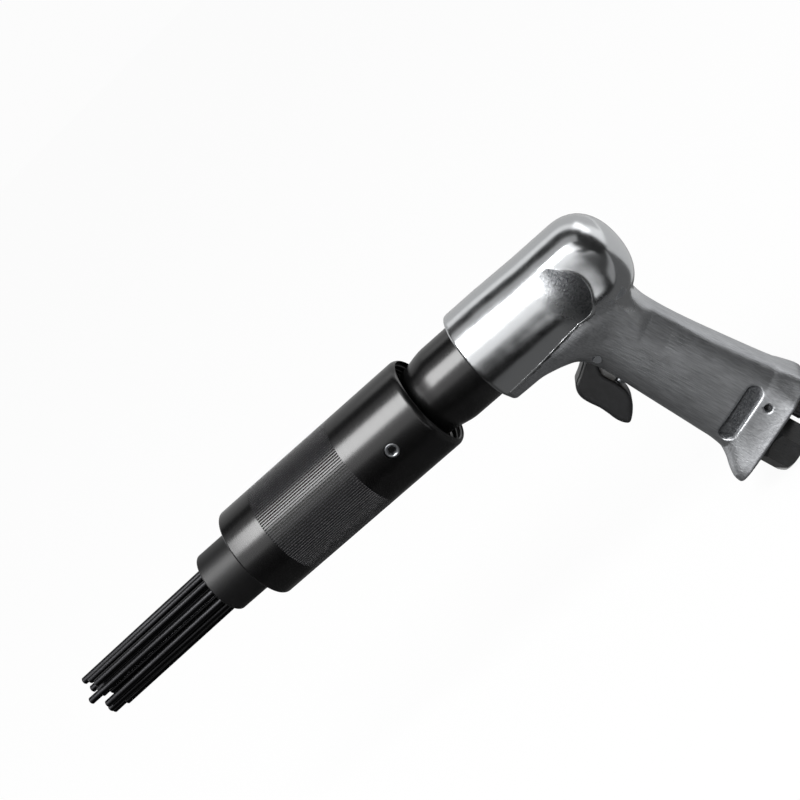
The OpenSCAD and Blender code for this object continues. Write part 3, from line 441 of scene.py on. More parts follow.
# Painted shade and painted dark reflection: where the cast-skin mask is set, the colour goes to a dark grey
dull = put(tree, "ShaderNodeMix", {0: raw_and_painted_shade, 6: bright.outputs[2], 7: linear("#46484b")}, data_type="RGBA")
tree.links.new(dull.outputs[2], shader.inputs["Base Color"])
smooth = put(tree, "ShaderNodeMapRange", {0: worked, 1: 0.0, 2: 1.0, 3: 0.2, 4: 0.42})
cloudy = put(tree, "ShaderNodeMath", {0: cloud.outputs["Fac"], 1: 0.12, 2: smooth.outputs[0]},
             operation="MULTIPLY_ADD")
rough = put(tree, "ShaderNodeMath", {0: raw_and_painted_shade, 1: 0.16, 2: cloudy.outputs[0]}, operation="MULTIPLY_ADD")
lowered = put(tree, "ShaderNodeMath", {0: rough.outputs[0], 1: 0.06}, operation="SUBTRACT")
tree.links.new(lowered.outputs[0], shader.inputs["Roughness"])
shader.inputs["Metallic"].default_value = 1.0
waves = put(tree, "ShaderNodeBump", {"Strength": 0.25, "Distance": 0.0006, "Height": wave.outputs["Fac"]})
lines = put(tree, "ShaderNodeMath", {0: worked, 1: 0.8}, operation="MULTIPLY")
brushed = put(tree, "ShaderNodeBump", {"Strength": lines.outputs[0], "Distance": 0.00016,
                                       "Height": grit.outputs["Fac"], "Normal": waves.outputs["Normal"]})
sand = put(tree, "ShaderNodeMath", {0: raw_and_painted_shade, 1: 0.9}, operation="MULTIPLY")
pitted = put(tree, "ShaderNodeBump", {"Strength": sand.outputs[0], "Distance": 0.0005,
                                      "Height": grain.outputs["Fac"], "Normal": brushed.outputs["Normal"]})
tree.links.new(pitted.outputs["Normal"], shader.inputs["Normal"])
handle.data.materials.append(cast_aluminium)
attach(handle, "tool_body")
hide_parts("handle_housing")


def plain_mesh(item):
    """The mesh that an object's modifiers give, with the modifiers taken off."""
    bpy.context.view_layer.update()
    mesh = bpy.data.meshes.new_from_object(item.evaluated_get(bpy.context.evaluated_depsgraph_get()))
    item.modifiers.clear()
    return mesh


def wound(name, path, wire_radius, sides, material):
    """A wire swept along a list of places in mm by a node tree, as a plain mesh."""
    line = bpy.data.curves.new(name + "_path", "CURVE")
    line.dimensions = "3D"
    spline = line.splines.new("POLY")
    spline.points.add(len(path) - 1)
    for point, place_at in zip(spline.points, path):
        point.co = (*[c / 1000 for c in place_at], 1)
    carrier = placed(name + "_path", line)
    group = bpy.data.node_groups.new(name + "_sweep", "GeometryNodeTree")
    group.interface.new_socket("Geometry", in_out="INPUT", socket_type="NodeSocketGeometry")
    radius_in = group.interface.new_socket("Wire radius", in_out="INPUT", socket_type="NodeSocketFloat")
    sides_in = group.interface.new_socket("Sides", in_out="INPUT", socket_type="NodeSocketInt")
    finish_in = group.interface.new_socket("Finish", in_out="INPUT", socket_type="NodeSocketMaterial")
    group.interface.new_socket("Geometry", in_out="OUTPUT", socket_type="NodeSocketGeometry")
    given = put(group, "NodeGroupInput")
    profile = put(group, "GeometryNodeCurvePrimitiveCircle",
                  {"Radius": given.outputs["Wire radius"], "Resolution": given.outputs["Sides"]})
    swept = put(group, "GeometryNodeCurveToMesh", {
        "Curve": given.outputs["Geometry"], "Profile Curve": profile.outputs["Curve"], "Fill Caps": True})
    smoothed = put(group, "GeometryNodeSetShadeSmooth", {"Geometry": swept.outputs["Mesh"]})
    real = put(group, "GeometryNodeRealizeInstances", {"Geometry": smoothed.outputs["Geometry"]})
    dressed = put(group, "GeometryNodeSetMaterial",
                  {"Geometry": real.outputs["Geometry"], "Material": given.outputs["Finish"]})
    put(group, "NodeGroupOutput", {"Geometry": dressed.outputs["Geometry"]})
    sweep = carrier.modifiers.new("sweep", "NODES")
    sweep.node_group = group
    sweep[radius_in.identifier] = wire_radius / 1000
    sweep[sides_in.identifier] = sides
    sweep[finish_in.identifier] = material
    mesh = plain_mesh(carrier)
    mesh.name = name
    bpy.data.objects.remove(carrier)
    return placed(name, mesh)


# A fine raised edge left round each flank where the wheel stops. It runs back along the bottom and up
# round the end, and each of its places is found by halving, where the flank meets the cut-back side
EDGE_X = (119.6, 158.1)
EDGE_TOP_TURN = 26
EDGE_R = 0.25
WIRE_SIDES = 8
EDGE_TILT = (12, 60)
BOTTOM_STEPS = 60
END_STEPS = 50
HALVINGS = 30
up_the_end = np.linspace(-90, EDGE_TOP_TURN, END_STEPS)
edge_turn = np.radians(np.concatenate([np.full(BOTTOM_STEPS, -90.0), up_the_end]))
edge_x = np.concatenate([np.linspace(*EDGE_X, BOTTOM_STEPS), np.full(END_STEPS, FLANK_END_X)])
low_tilt, high_tilt = (np.full(BOTTOM_STEPS + END_STEPS, math.radians(a)) for a in EDGE_TILT)
for _ in range(HALVINGS):
    tilt = (low_tilt + high_tilt) / 2
    ex = edge_x + HEAD_R * np.sin(tilt) * np.cos(edge_turn)
    ey = -HEAD_R * np.cos(tilt)
    ez = HEAD_R * np.sin(tilt) * np.sin(edge_turn)
    hidden = behind_flanks(ex, ey, ez) < 0
    high_tilt = np.where(hidden, tilt, high_tilt)
    low_tilt = np.where(hidden, low_tilt, tilt)
flank_edge = np.stack([ex, ey, ez], 1).tolist()
for name, side in (("flank_edge_left", 1), ("flank_edge_right", -1)):
    edge_bead = wound(name, [(x, side * y, z) for x, y, z in flank_edge], EDGE_R, WIRE_SIDES, cast_aluminium)
    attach(edge_bead, "tool_body")

# Barrel: a turned steel tube, blacked and oiled, that carries the sleeve and runs into the housing.
# Behind the collar it necks in with a long fillet, and its bores guide the anvil and the piston.
COLLAR_X = (62.0, 84.0)
COLLAR_R = 18.08
COLLAR_FACE_R = 17.3
COLLAR_EDGE = 0.8
BARREL_R = 16.2
BARREL_X = (110.0, 148.2)
NECK_R = 14.4
NECK_X = (91.0, 104.0)
NECK_STEPS = 12
TURNED_CREASE = 32
GUIDE_R = 7.0
PISTON_BORE_R = 11.0
PISTON_BORE_X = 82.0


def faces_out(mesh):
    """Turns the faces of a closed mesh outwards."""
    shell = bmesh.new()
    shell.from_mesh(mesh)
    bmesh.ops.recalc_face_normals(shell, faces=shell.faces)
    shell.to_mesh(mesh)
    shell.free()


def shade(mesh, crease):
    """Smooth shading, broken at edges sharper than so many degrees."""
    mesh.polygons.foreach_set("use_smooth", [True] * len(mesh.polygons))
    mesh.set_sharp_from_angle(angle=math.radians(crease))


def turned(name, outline, sides, material):
    """A closed piece turned on the barrel axis from (radius, place) points in mm."""
    mesh = bpy.data.meshes.new(name)
    count = len(outline)
    points = []
    for i in range(sides):
        a = 2 * math.pi * i / sides
        points += [(x / 1000, r * math.cos(a) / 1000, r * math.sin(a) / 1000) for r, x in outline]
    faces = []
    for i in range(sides):
        k = (i + 1) % sides
        for j in range(count):
            n = (j + 1) % count
            faces.append((i * count + j, k * count + j, k * count + n, i * count + n))
    mesh.from_pydata(points, [], faces)
    faces_out(mesh)
    shade(mesh, TURNED_CREASE)
    mesh.materials.append(material)
    return placed(name, mesh)


# Black oxide on steel, oiled: almost black with clear soft highlights and no colour of its own.
# Turning marks run round the axis and are drawn 0.8 mm apart so that they show.
MARKS_PER_MM = (1.25, 0.03, 0.03)
HAZE_PER_MM = 0.05
OXIDE_IOR = 1.68
black_oxide, tree, shader, place = new_finish("oiled_black_oxide_steel")
turning = put(tree, "ShaderNodeMapping", {"Vector": place, "Scale": MARKS_PER_MM})
marks = put(tree, "ShaderNodeTexNoise", {"Vector": turning.outputs["Vector"], "Scale": 1.0, "Detail": 2.0})
hazy = put(tree, "ShaderNodeTexNoise", {"Vector": place, "Scale": HAZE_PER_MM, "Detail": 2.0})
tone = put(tree, "ShaderNodeMix", {0: hazy.outputs["Fac"], 6: linear("#050505"), 7: linear("#0a0a0b")},
           data_type="RGBA")
tree.links.new(tone.outputs[2], shader.inputs["Base Color"])
shader.inputs["IOR"].default_value = OXIDE_IOR
oiled = put(tree, "ShaderNodeMapRange", {0: marks.outputs["Fac"], 1: 0.3, 2: 0.7, 3: 0.225, 4: 0.245})
tree.links.new(oiled.outputs[0], shader.inputs["Roughness"])

barrel_line = [(GUIDE_R, COLLAR_X[0]), (COLLAR_FACE_R, COLLAR_X[0]), (COLLAR_R, COLLAR_X[0] + COLLAR_EDGE),
               (COLLAR_R, COLLAR_X[1] - COLLAR_EDGE), (COLLAR_FACE_R, COLLAR_X[1]), (NECK_R, COLLAR_X[1])]
for i in range(NECK_STEPS, -1, -1):
    fall = (BARREL_R - NECK_R) / 2 * (1 - math.cos(math.pi * i / NECK_STEPS))
    barrel_line.append((BARREL_R - fall, NECK_X[1] - (NECK_X[1] - NECK_X[0]) * i / NECK_STEPS))
barrel_line += [(BARREL_R, BARREL_X[0]), (BARREL_R, BARREL_X[1]), (PISTON_BORE_R, BARREL_X[1]),
                (PISTON_BORE_R, PISTON_BORE_X), (GUIDE_R, PISTON_BORE_X)]
barrel = turned("blacked_barrel", barrel_line, sides=144, material=black_oxide)
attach(barrel, "tool_body")
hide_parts("cylinder_barrel")

# Sleeve: a turned tube with a straight-knurled band, screwed over the barrel's collar.
# Its open rear mouth shows the last turns of the inner thread, and two screws lock it.
SLEEVE_R = 20.0
SLEEVE_EDGE = 0.8
SLEEVE_BORE_R = 17.0
THREAD_R = 18.1
THREAD_END_X = 87.4
LIP_R = 13.42
LIP_X = 4.0
LIP_GROOVE = (14.31, 15.91, 0.8)
BAND_R = 19.2
BAND_X = (16.4, 57.8)
BAND_STEP = 0.1
MOUTH_R = 18.7
MOUTH_X = 88.0
SLEEVE_REAR_X = 93.0
REAR_ROUND = [(20.0, 90.5), (19.93, 91.1), (19.72, 91.75), (19.4, 92.35), (19.0, 92.8)]
SCREW_X = 74.7
SCREW_HOLE_R = 3.05
SCREW_HOLE_DEPTH = 5.2
SCREW_HOLE_Y = 17.9


def round_corner(r, x, radius, start, end, steps=7):
    """Points of a rounded corner of a turned outline."""
    turns = [math.radians(start + (end - start) * i / steps) for i in range(steps + 1)]
    return [(r + radius * math.cos(a), x + radius * math.sin(a)) for a in turns]


groove_in, groove_out, groove_depth = LIP_GROOVE
sleeve_line = [(LIP_R, 0.0), (groove_in, 0.0), (groove_in, groove_depth), (groove_out, groove_depth),
               (groove_out, 0.0)]
sleeve_line += round_corner(SLEEVE_R - SLEEVE_EDGE, SLEEVE_EDGE, SLEEVE_EDGE, -90, 0)
sleeve_line += [(SLEEVE_R, BAND_X[0] - BAND_STEP), (BAND_R, BAND_X[0])]
sleeve_line += [(BAND_R, BAND_X[1]), (SLEEVE_R, BAND_X[1] + BAND_STEP)]
sleeve_line += REAR_ROUND + [(MOUTH_R, SLEEVE_REAR_X), (MOUTH_R, MOUTH_X), (THREAD_R, THREAD_END_X)]
sleeve_line += [(THREAD_R, COLLAR_X[0]), (SLEEVE_BORE_R, COLLAR_X[0]), (SLEEVE_BORE_R, LIP_X), (LIP_R, LIP_X)]
sleeve = turned("sleeve_tube", sleeve_line, sides=288, material=black_oxide)
drill_mesh = bpy.data.meshes.new("screw_drill")
drills = bmesh.new()
for side in (-1, 1):
    at_hole = Matrix.Translation((SCREW_X / 1000, side * SCREW_HOLE_Y / 1000, 0))
    across = at_hole @ Matrix.Rotation(math.pi / 2, 4, "X")
    bmesh.ops.create_cone(drills, cap_ends=True, segments=64, radius1=SCREW_HOLE_R / 1000,
                          radius2=SCREW_HOLE_R / 1000, depth=SCREW_HOLE_DEPTH / 1000, matrix=across)
drills.to_mesh(drill_mesh)
drills.free()
drill = placed("screw_drill", drill_mesh)
holes = sleeve.modifiers.new("screw_holes", "BOOLEAN")
holes.object = drill
holes.solver = "EXACT"
drilled = plain_mesh(sleeve)
sleeve.data = drilled
drilled.set_sharp_from_angle(angle=math.radians(TURNED_CREASE))
bpy.data.objects.remove(drill)


def mottled(name, per_mm, detail, dark, light, **plain_values):
    """A finish between two colours, with so many patches per mm each way, and the pattern it follows."""
    material, tree, shader, place = new_finish(name)
    sized = put(tree, "ShaderNodeMapping", {"Vector": place, "Scale": per_mm})
    pattern = put(tree, "ShaderNodeTexNoise",
                  {"Vector": sized.outputs["Vector"], "Scale": 1.0, "Detail": detail})
    tone = put(tree, "ShaderNodeMix", {0: pattern.outputs["Fac"], 6: linear(dark), 7: linear(light)},
               data_type="RGBA")
    tree.links.new(tone.outputs[2], shader.inputs["Base Color"])
    for socket, value in plain_values.items():
        shader.inputs[socket].default_value = value
    return material, tree, shader, pattern.outputs["Fac"]


# Black oxide painted a dark grey on the ribs, in patches of about 3 mm: a painted sheen for the light their
# crests catch, while the grooves between them keep their black.
oxide_with_painted_sheen, *_ = mottled("black_oxide_steel_painted_sheen", (0.3, 0.3, 0.3), 3.0, "#1c1c1d", "#2c2c2e",
                           IOR=OXIDE_IOR, Roughness=0.27)

# The knurl: one straight rib with a flat crest, set round the band. The real band has nearly 150 of
# them; 120 are made, as on the solid, so that they show.
RIBS = 120
RIB_X = (16.35, 57.85)
# Half of a rib's section, as shares of the pitch and radii
RIB_EDGE = [(0.17, 20.0), (0.18, 20.0), (0.2, 19.99), (0.22, 19.955), (0.235, 19.9), (0.245, 19.82),
            (0.27, 19.1)]
rib_pitch = 2 * math.pi / RIBS
rib_section = [(-a, r) for a, r in RIB_EDGE[::-1]] + RIB_EDGE
rib_mesh = bpy.data.meshes.new("knurl_ribs")
rib_points = [(x / 1000, r * math.cos(a * rib_pitch) / 1000, r * math.sin(a * rib_pitch) / 1000)
              for x in RIB_X for a, r in rib_section]
count = len(rib_section)
rib_faces = [(j, (j + 1) % count, count + (j + 1) % count, count + j) for j in range(count)]
rib_faces += [tuple(range(count))[::-1], tuple(range(count, 2 * count))]
rib_mesh.from_pydata(rib_points, [], rib_faces)
faces_out(rib_mesh)
ribs = placed("knurl_ribs", rib_mesh)
group = bpy.data.node_groups.new("knurl_round_band", "GeometryNodeTree")
group.interface.new_socket("Geometry", in_out="INPUT", socket_type="NodeSocketGeometry")
rib_total = group.interface.new_socket("Ribs", in_out="INPUT", socket_type="NodeSocketInt")
rib_finish = group.interface.new_socket("Finish", in_out="INPUT", socket_type="NodeSocketMaterial")
group.interface.new_socket("Geometry", in_out="OUTPUT", socket_type="NodeSocketGeometry")
given = put(group, "NodeGroupInput")
seats = put(group, "GeometryNodeMeshLine", {"Count": given.outputs["Ribs"], "Offset": (0, 0, 0)})
order = put(group, "GeometryNodeInputIndex")
share = put(group, "ShaderNodeMath", {0: order.outputs[0], 1: given.outputs["Ribs"]}, operation="DIVIDE")
turn = put(group, "ShaderNodeMath", {0: share.outputs[0], 1: 2 * math.pi}, operation="MULTIPLY")
about = put(group, "ShaderNodeCombineXYZ", {"X": turn.outputs[0]})
set_round = put(group, "GeometryNodeInstanceOnPoints", {
    "Points": seats.outputs["Mesh"], "Instance": given.outputs["Geometry"], "Rotation": about.outputs[0]})
real = put(group, "GeometryNodeRealizeInstances", {"Geometry": set_round.outputs["Instances"]})
dressed = put(group, "GeometryNodeSetMaterial",
              {"Geometry": real.outputs["Geometry"], "Material": given.outputs["Finish"]})
put(group, "NodeGroupOutput", {"Geometry": dressed.outputs["Geometry"]})
around = ribs.modifiers.new("round_band", "NODES")
around.node_group = group
around[rib_total.identifier] = RIBS
# The ribs take the black oxide with the painted sheen on their crests
around[rib_finish.identifier] = oxide_with_painted_sheen
ribs.data = plain_mesh(ribs)
shade(ribs.data, crease=60)
for piece in (sleeve, ribs):
    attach(piece, "tool_body")
    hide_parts("knurled_sleeve")


def helix(start, end, turns, radius, per_turn=40):
    """Points of a helix on the barrel axis."""
    count = int(turns * per_turn) + 1
    return [(start + (end - start) * i / (count - 1), radius * math.cos(2 * math.pi * i / per_turn),
             radius * math.sin(2 * math.pi * i / per_turn)) for i in range(count)]


MOUTH_THREAD_X = (88.4, 92.2)
MOUTH_THREAD_TURNS = 2.0
MOUTH_THREAD_R = 18.5
MOUTH_CREST_R = 0.65
mouth_line = helix(*MOUTH_THREAD_X, MOUTH_THREAD_TURNS, MOUTH_THREAD_R)
mouth_thread = wound("sleeve_mouth_thread", mouth_line, MOUTH_CREST_R, WIRE_SIDES, black_oxide)
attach(mouth_thread, "tool_body")

# Nose tube: a thin steel tube, phosphated to a duller black than the sleeve, that gathers the
# needles. Its flange is held behind the sleeve's lip by the return spring.


def give(material, *names):
    """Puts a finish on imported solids."""
    for name in names:
        for place_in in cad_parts[name].material_slots:
            place_in.material = material


# Phosphated steel: a matt black of fine crystals, drawn 0.8 mm across so that they show
phosphate, *_ = mottled("phosphated_black_steel", (1.2, 1.2, 1.2), 4.0, "#09090a", "#121213",
                        Roughness=0.42, IOR=1.52)
give(phosphate, "nose_tube")

# Set screws: two socket screws of black steel, one in each side, points on the barrel's collar.
# Their steel is painted a light grey all over, a painted highlight for the light that the rim of each socket
# catches.
screw_steel_painted_light, *_ = mottled("screw_steel_painted_highlight", (1.4, 1.4, 1.4), 3.0, "#8a8c8f", "#b9bbbe",
                          Metallic=1.0, Roughness=0.4)
SCREW_SIDES = 48
# Rings of one screw: round or six-sided, radius or half the key's width, and height on the sleeve
SCREW_RINGS = [
    (False, 2.96, 16.5), (False, 2.96, 19.1), (False, 2.85, 19.42), (False, 2.55, 19.6), (False, 2.2, 19.6),
    (False, 1.95, 19.46), (True, 1.6, 19.2), (True, 1.5, 19.0), (True, 1.5, 17.6), (True, 0.9, 17.3),
]
screw_points, screw_faces = [], []
for side in (-1, 1):
    start = len(screw_points)
    for six_sided, size, height in SCREW_RINGS:
        for i in range(SCREW_SIDES):
            a = 2 * math.pi * i / SCREW_SIDES
            r = size / math.cos((a % (math.pi / 3)) - math.pi / 6) if six_sided else size
            along_x = (SCREW_X + r * math.cos(a)) / 1000
            screw_points.append((along_x, side * height / 1000, r * math.sin(a) / 1000))
    for lower in range(start, len(screw_points) - SCREW_SIDES, SCREW_SIDES):
        upper = lower + SCREW_SIDES
        for i in range(SCREW_SIDES):
            k = (i + 1) % SCREW_SIDES
            screw_faces.append((lower + i, lower + k, upper + k, upper + i))
    screw_faces.append(tuple(range(start, start + SCREW_SIDES)))
    screw_faces.append(tuple(range(len(screw_points) - SCREW_SIDES, len(screw_points))))
screw_mesh = bpy.data.meshes.new("socket_set_screws")
screw_mesh.from_pydata(screw_points, [], screw_faces)
faces_out(screw_mesh)
shade(screw_mesh, crease=40)
# Painted highlight: the screws' light grey stands in for the light their socket rims catch
screw_mesh.materials.append(screw_steel_painted_light)
screws = placed("socket_set_screws", screw_mesh)
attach(screws, "tool_body")
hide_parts("set_screws")

# Needles: nineteen loose rods of hard drawn steel with upset heads, grey from the mill
# and scuffed along their length. They hang in the holder's holes and stray a little.
needle_steel, tree, shader, streaks = mottled("drawn_needle_steel", (0.05, 1.2, 1.2), 4.0,
                                              "#1d1d1e", "#414143", Metallic=1.0)
dulled = put(tree, "ShaderNodeMapRange", {0: streaks, 1: 0.3, 2: 0.7, 3: 0.4, 4: 0.3})
tree.links.new(dulled.outputs[0], shader.inputs["Roughness"])
give(needle_steel, *[f"needle_{i:02d}" for i in range(1, 20)])

# Striking parts and air valve: ground and hardened steel inside the barrel, lightly oiled.
# The trigger's pin and the throttle's stem are made of it too, and none of these is painted.
ground_steel, *_ = mottled("ground_hardened_steel", (3.0, 0.3, 0.3), 3.0, "#77797c", "#a5a8ac",
                           Metallic=1.0, Roughness=0.3)
give(ground_steel, "needle_holder", "anvil", "piston", "valve_block", "valve_plate", "valve_cap",
     "valve_dowel", "trigger_pin", "throttle_stem")

# Seals and buffer: nitrile rubber rings, matt black with a faint moulding bloom.
# They sit in turned grooves and hold the air in the barrel and at the regulator.
nitrile, *_ = mottled("moulded_nitrile_rubber", (0.8, 0.8, 0.8), 2.0, "#0f0f10", "#242426", Roughness=0.6)
give(nitrile, "buffer_ring", "barrel_seal", "regulator_seal")

# Return spring: round steel wire coiled between the nose tube's flange and the needle holder.
# It shortens as the holder is driven forward.
SPRING_X = (8.52, 31.28)
SPRING_R = 14.9
SPRING_TURNS = 5.0
SPRING_WIRE_R = 1.2
spring_steel, *_ = mottled("oil_tempered_spring_steel", (0.9, 0.9, 0.9), 3.0, "#5c5e61", "#97999d",
                           Metallic=1.0, Roughness=0.3)
coil = helix(SPRING_X[0] + SPRING_WIRE_R, SPRING_X[1] - SPRING_WIRE_R, SPRING_TURNS, SPRING_R, per_turn=48)
return_spring = wound("return_spring_coil", coil, SPRING_WIRE_R, sides=14, material=spring_steel)
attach(return_spring, "tool_body")
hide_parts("return_spring")
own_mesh(return_spring)

# Trigger: a pressed steel blade, rolled at its edges and blacked, on a pivot pin through the
# casting. It pushes the throttle stem when it is drawn back.
TRIGGER_REAR_U = 8.985
BLADE_REACH = 12.4
BLADE_DROP = 28.8
BLADE_Y = 5.0
BLADE_EDGE = 1.3
HUB_R = 3.8
PIVOT_R = 1.55
# Outline of the blade, as shares of its reach forward and its drop from the hub's top
TRIGGER_SHARES = [
    (0.36, 0.1), (0.62, 0.12), (0.82, 0.19), (0.93, 0.29), (0.95, 0.42), (0.93, 0.56),
    (0.96, 0.7), (1, 0.82), (0.98, 0.93), (0.9, 1), (0.76, 1), (0.5, 0.95), (0.24, 0.87),
    (0.06, 0.74), (0, 0.58), (0, 0.4), (-0.1, 0.3), (-0.4, 0.16),
]
blade = [(TRIGGER_REAR_U - a * BLADE_REACH, HUB[1] + HUB_R - b * BLADE_DROP) for a, b in TRIGGER_SHARES]
trigger_line = [(HUB[0], HUB[1] - HUB_R), (HUB[0], HUB[1] + HUB_R), blade[0]]
for before, a, b, after in zip(blade, blade[1:], blade[2:], blade[3:]):
    for t in (0.0, 0.25, 0.5, 0.75):
        trigger_line.append(tuple(
            0.5 * (2 * a[k] + (b[k] - before[k]) * t + (2 * before[k] - 5 * a[k] + 4 * b[k] - after[k]) * t**2
                   + (3 * a[k] - before[k] - 3 * b[k] + after[k]) * t**3) for k in (0, 1)))
trigger_line += blade[-2:]


def trigger_blade(x, y, z):
    """The trigger: its outline and round hub, as thick as the blade, with the pivot's hole."""
    u, h = in_grip(x, z)
    near = np.full(u.shape, 1e9)
    within = np.zeros(u.shape, bool)
    for (a, b), (c, d) in zip(trigger_line, trigger_line[1:] + trigger_line[:1]):
        along_edge = np.clip(((u - a) * (c - a) + (h - b) * (d - b)) / ((c - a) ** 2 + (d - b) ** 2), 0, 1)
        near = np.minimum(near, np.hypot(u - a - along_edge * (c - a), h - b - along_edge * (d - b)))
        if b != d:
            within ^= ((b > h) != (d > h)) & (u < (c - a) * (h - b) / (d - b) + a)
    to_hub = np.hypot(u - HUB[0], h - HUB[1])
    flat = np.minimum(np.where(within, -near, near), to_hub - HUB_R)
    return np.maximum(rounded(flat, np.abs(y) - BLADE_Y, BLADE_EDGE), PIVOT_R - to_hub)


TRIGGER_BOX = ((130.0, -6.0, -62.0), (158.0, 6.0, -22.0))
TRIGGER_STEP = 0.4
trigger, _ = skin_mesh("trigger_blade", trigger_blade, *TRIGGER_BOX, TRIGGER_STEP)
black_trigger, *_ = mottled("blacked_pressed_steel", (0.5, 0.5, 0.5), 4.0, "#0a0a0b", "#1f2022",
                            IOR=1.8, Roughness=0.36)
trigger.data.materials.append(black_trigger)
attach(trigger, "trigger")
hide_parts("trigger")

# Throttle valve: a turned brass bush pressed into the grip, with a steel stem and a light
# spring that shuts the valve head on the bush's seat.
THROTTLE_SPRING_U = (27.02, 34.98)
THROTTLE_SPRING_R = 3.0
THROTTLE_SPRING_TURNS = 5.0
THROTTLE_WIRE_R = 0.4
brass, *_ = mottled("turned_brass", (0.6, 0.6, 0.6), 3.0, "#8d6c3a", "#c9a866",
                    Metallic=1.0, Roughness=0.3)
give(brass, "throttle_bush", "inlet_screen")


def from_grip(u, y, h):
    """A place in the tool's frame from one along, across and above the grip's end."""
    x = TOE[0] + u * math.cos(RAKE) - h * math.sin(RAKE)
    return x, y, TOE[1] + u * math.sin(RAKE) + h * math.cos(RAKE)


stem_coil = helix(THROTTLE_SPRING_U[0] + THROTTLE_WIRE_R, THROTTLE_SPRING_U[1] - THROTTLE_WIRE_R,
                  THROTTLE_SPRING_TURNS, THROTTLE_SPRING_R, per_turn=36)
stem_line = [from_grip(x, y, THROTTLE_H + z) for x, y, z in stem_coil]
throttle_spring = wound("throttle_spring_coil", stem_line, THROTTLE_WIRE_R, sides=10, material=spring_steel)
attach(throttle_spring, "tool_body")
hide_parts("throttle_spring")
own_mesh(throttle_spring)

# Air inlet: a blacked steel bushing screwed into the grip's end, with a hexagon for the spanner
# and a thread for the hose. Spanner jaws have scuffed its flats and corners.
SCUFF = (0.4, 0.4, 2.6)
MAGNETITE_IOR = 2.4
scuffed_black, tree, shader, place = new_finish("scuffed_black_steel")
slanted = put(tree, "ShaderNodeMapping", {"Vector": place, "Rotation": (0.15, -RAKE, 0), "Scale": SCUFF},
              vector_type="TEXTURE")
scratches = put(tree, "ShaderNodeTexNoise",
                {"Vector": slanted.outputs["Vector"], "Scale": 1.0, "Detail": 5.0, "Roughness": 0.7})
bare = put(tree, "ShaderNodeMapRange", {0: scratches.outputs["Fac"], 1: 0.52, 2: 0.68, 3: 0.0, 4: 1.0})
tone = put(tree, "ShaderNodeMix", {0: bare.outputs[0], 6: linear("#0d0d0e"), 7: linear("#5a5c60")},
           data_type="RGBA")
tree.links.new(tone.outputs[2], shader.inputs["Base Color"])
tree.links.new(bare.outputs[0], shader.inputs["Metallic"])
shader.inputs["IOR"].default_value = MAGNETITE_IOR
shader.inputs["Roughness"].default_value = 0.32
give(scuffed_black, "inlet_bushing")
INLET_THREAD_H = (-2.6, -0.25)
INLET_THREAD_TURNS = 2.4
INLET_THREAD_R = 6.5
INLET_CREST_R = 0.36
inlet_coil = helix(*INLET_THREAD_H, INLET_THREAD_TURNS, INLET_THREAD_R)
neck_line = [from_grip(INLET_U + z, y, x) for x, y, z in inlet_coil]
neck_thread = wound("inlet_neck_thread", neck_line, INLET_CREST_R, WIRE_SIDES, scuffed_black)
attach(neck_thread, "tool_body")

# Flow regulator: a fluted knob turned with its stem from one steel bar and blacked like the inlet.
# It sits in a bore beside the inlet, and a cross pin through the grip keeps it in.
give(scuffed_black, "regulator_knob")
give(black_oxide, "regulator_pin")

# Studio: a white floor in a white room, two softboxes, and cards from black to white that
# show only in reflections, where they give the bright metal its bands. None of it belongs to the tool.
FLOOR_HALF = 6.0
FLOOR_GLOW = 0.95
ROOM_LIGHT = 0.35
ROOM_WHITE = 0.972
floor_z = Vector(cad_box[0]).z


def shown_plain(tree):
    """1 on camera, glossy and transmission rays, which show the surroundings plain white."""
    path = put(tree, "ShaderNodeLightPath")
    seen = put(tree, "ShaderNodeMath", {0: path.outputs["Is Camera Ray"], 1: path.outputs["Is Glossy Ray"]},
               operation="MAXIMUM")
    seen = put(tree, "ShaderNodeMath", {0: seen.outputs[0], 1: path.outputs["Is Transmission Ray"]},
               operation="MAXIMUM")
    return seen.outputs[0]


floor_mesh = bpy.data.meshes.new("floor")
corners = [(x * FLOOR_HALF, y * FLOOR_HALF, floor_z) for x, y in ((-1, -1), (1, -1), (1, 1), (-1, 1))]
floor_mesh.from_pydata(corners, [], [(0, 1, 2, 3)])
floor = placed("floor", floor_mesh)
white_floor = bpy.data.materials.new("white_sweep")
white_floor.use_nodes = True
tree = white_floor.node_tree
shader = tree.nodes["Principled BSDF"]
shader.inputs["Base Color"].default_value = linear("#f4f4f4")
shader.inputs["Roughness"].default_value = 0.9
share = put(tree, "ShaderNodeMath", {0: shown_plain(tree), 1: FLOOR_GLOW}, operation="MULTIPLY")
glow = put(tree, "ShaderNodeEmission", {"Color": (1, 1, 1, 1), "Strength": 1.0})
both = put(tree, "ShaderNodeMixShader", {0: share.outputs[0], 1: shader.outputs[0], 2: glow.outputs[0]})
tree.links.new(both.outputs[0], tree.nodes["Material Output"].inputs["Surface"])
floor.data.materials.append(white_floor)

world = bpy.data.worlds.new("white_room")
bpy.context.scene.world = world
world.use_nodes = True
tree = world.node_tree
level = put(tree, "ShaderNodeMapRange", {0: shown_plain(tree), 1: 0.0, 2: 1.0, 3: ROOM_LIGHT, 4: ROOM_WHITE})
tree.links.new(level.outputs[0], tree.nodes["Background"].inputs["Strength"])
tree.nodes["Background"].inputs["Color"].default_value = (1, 1, 1, 1)

# Lamps and camera are set out from a place on the barrel's axis, 70 mm behind the sleeve's front
middle = Vector((0.07, 0.0, 0.0))


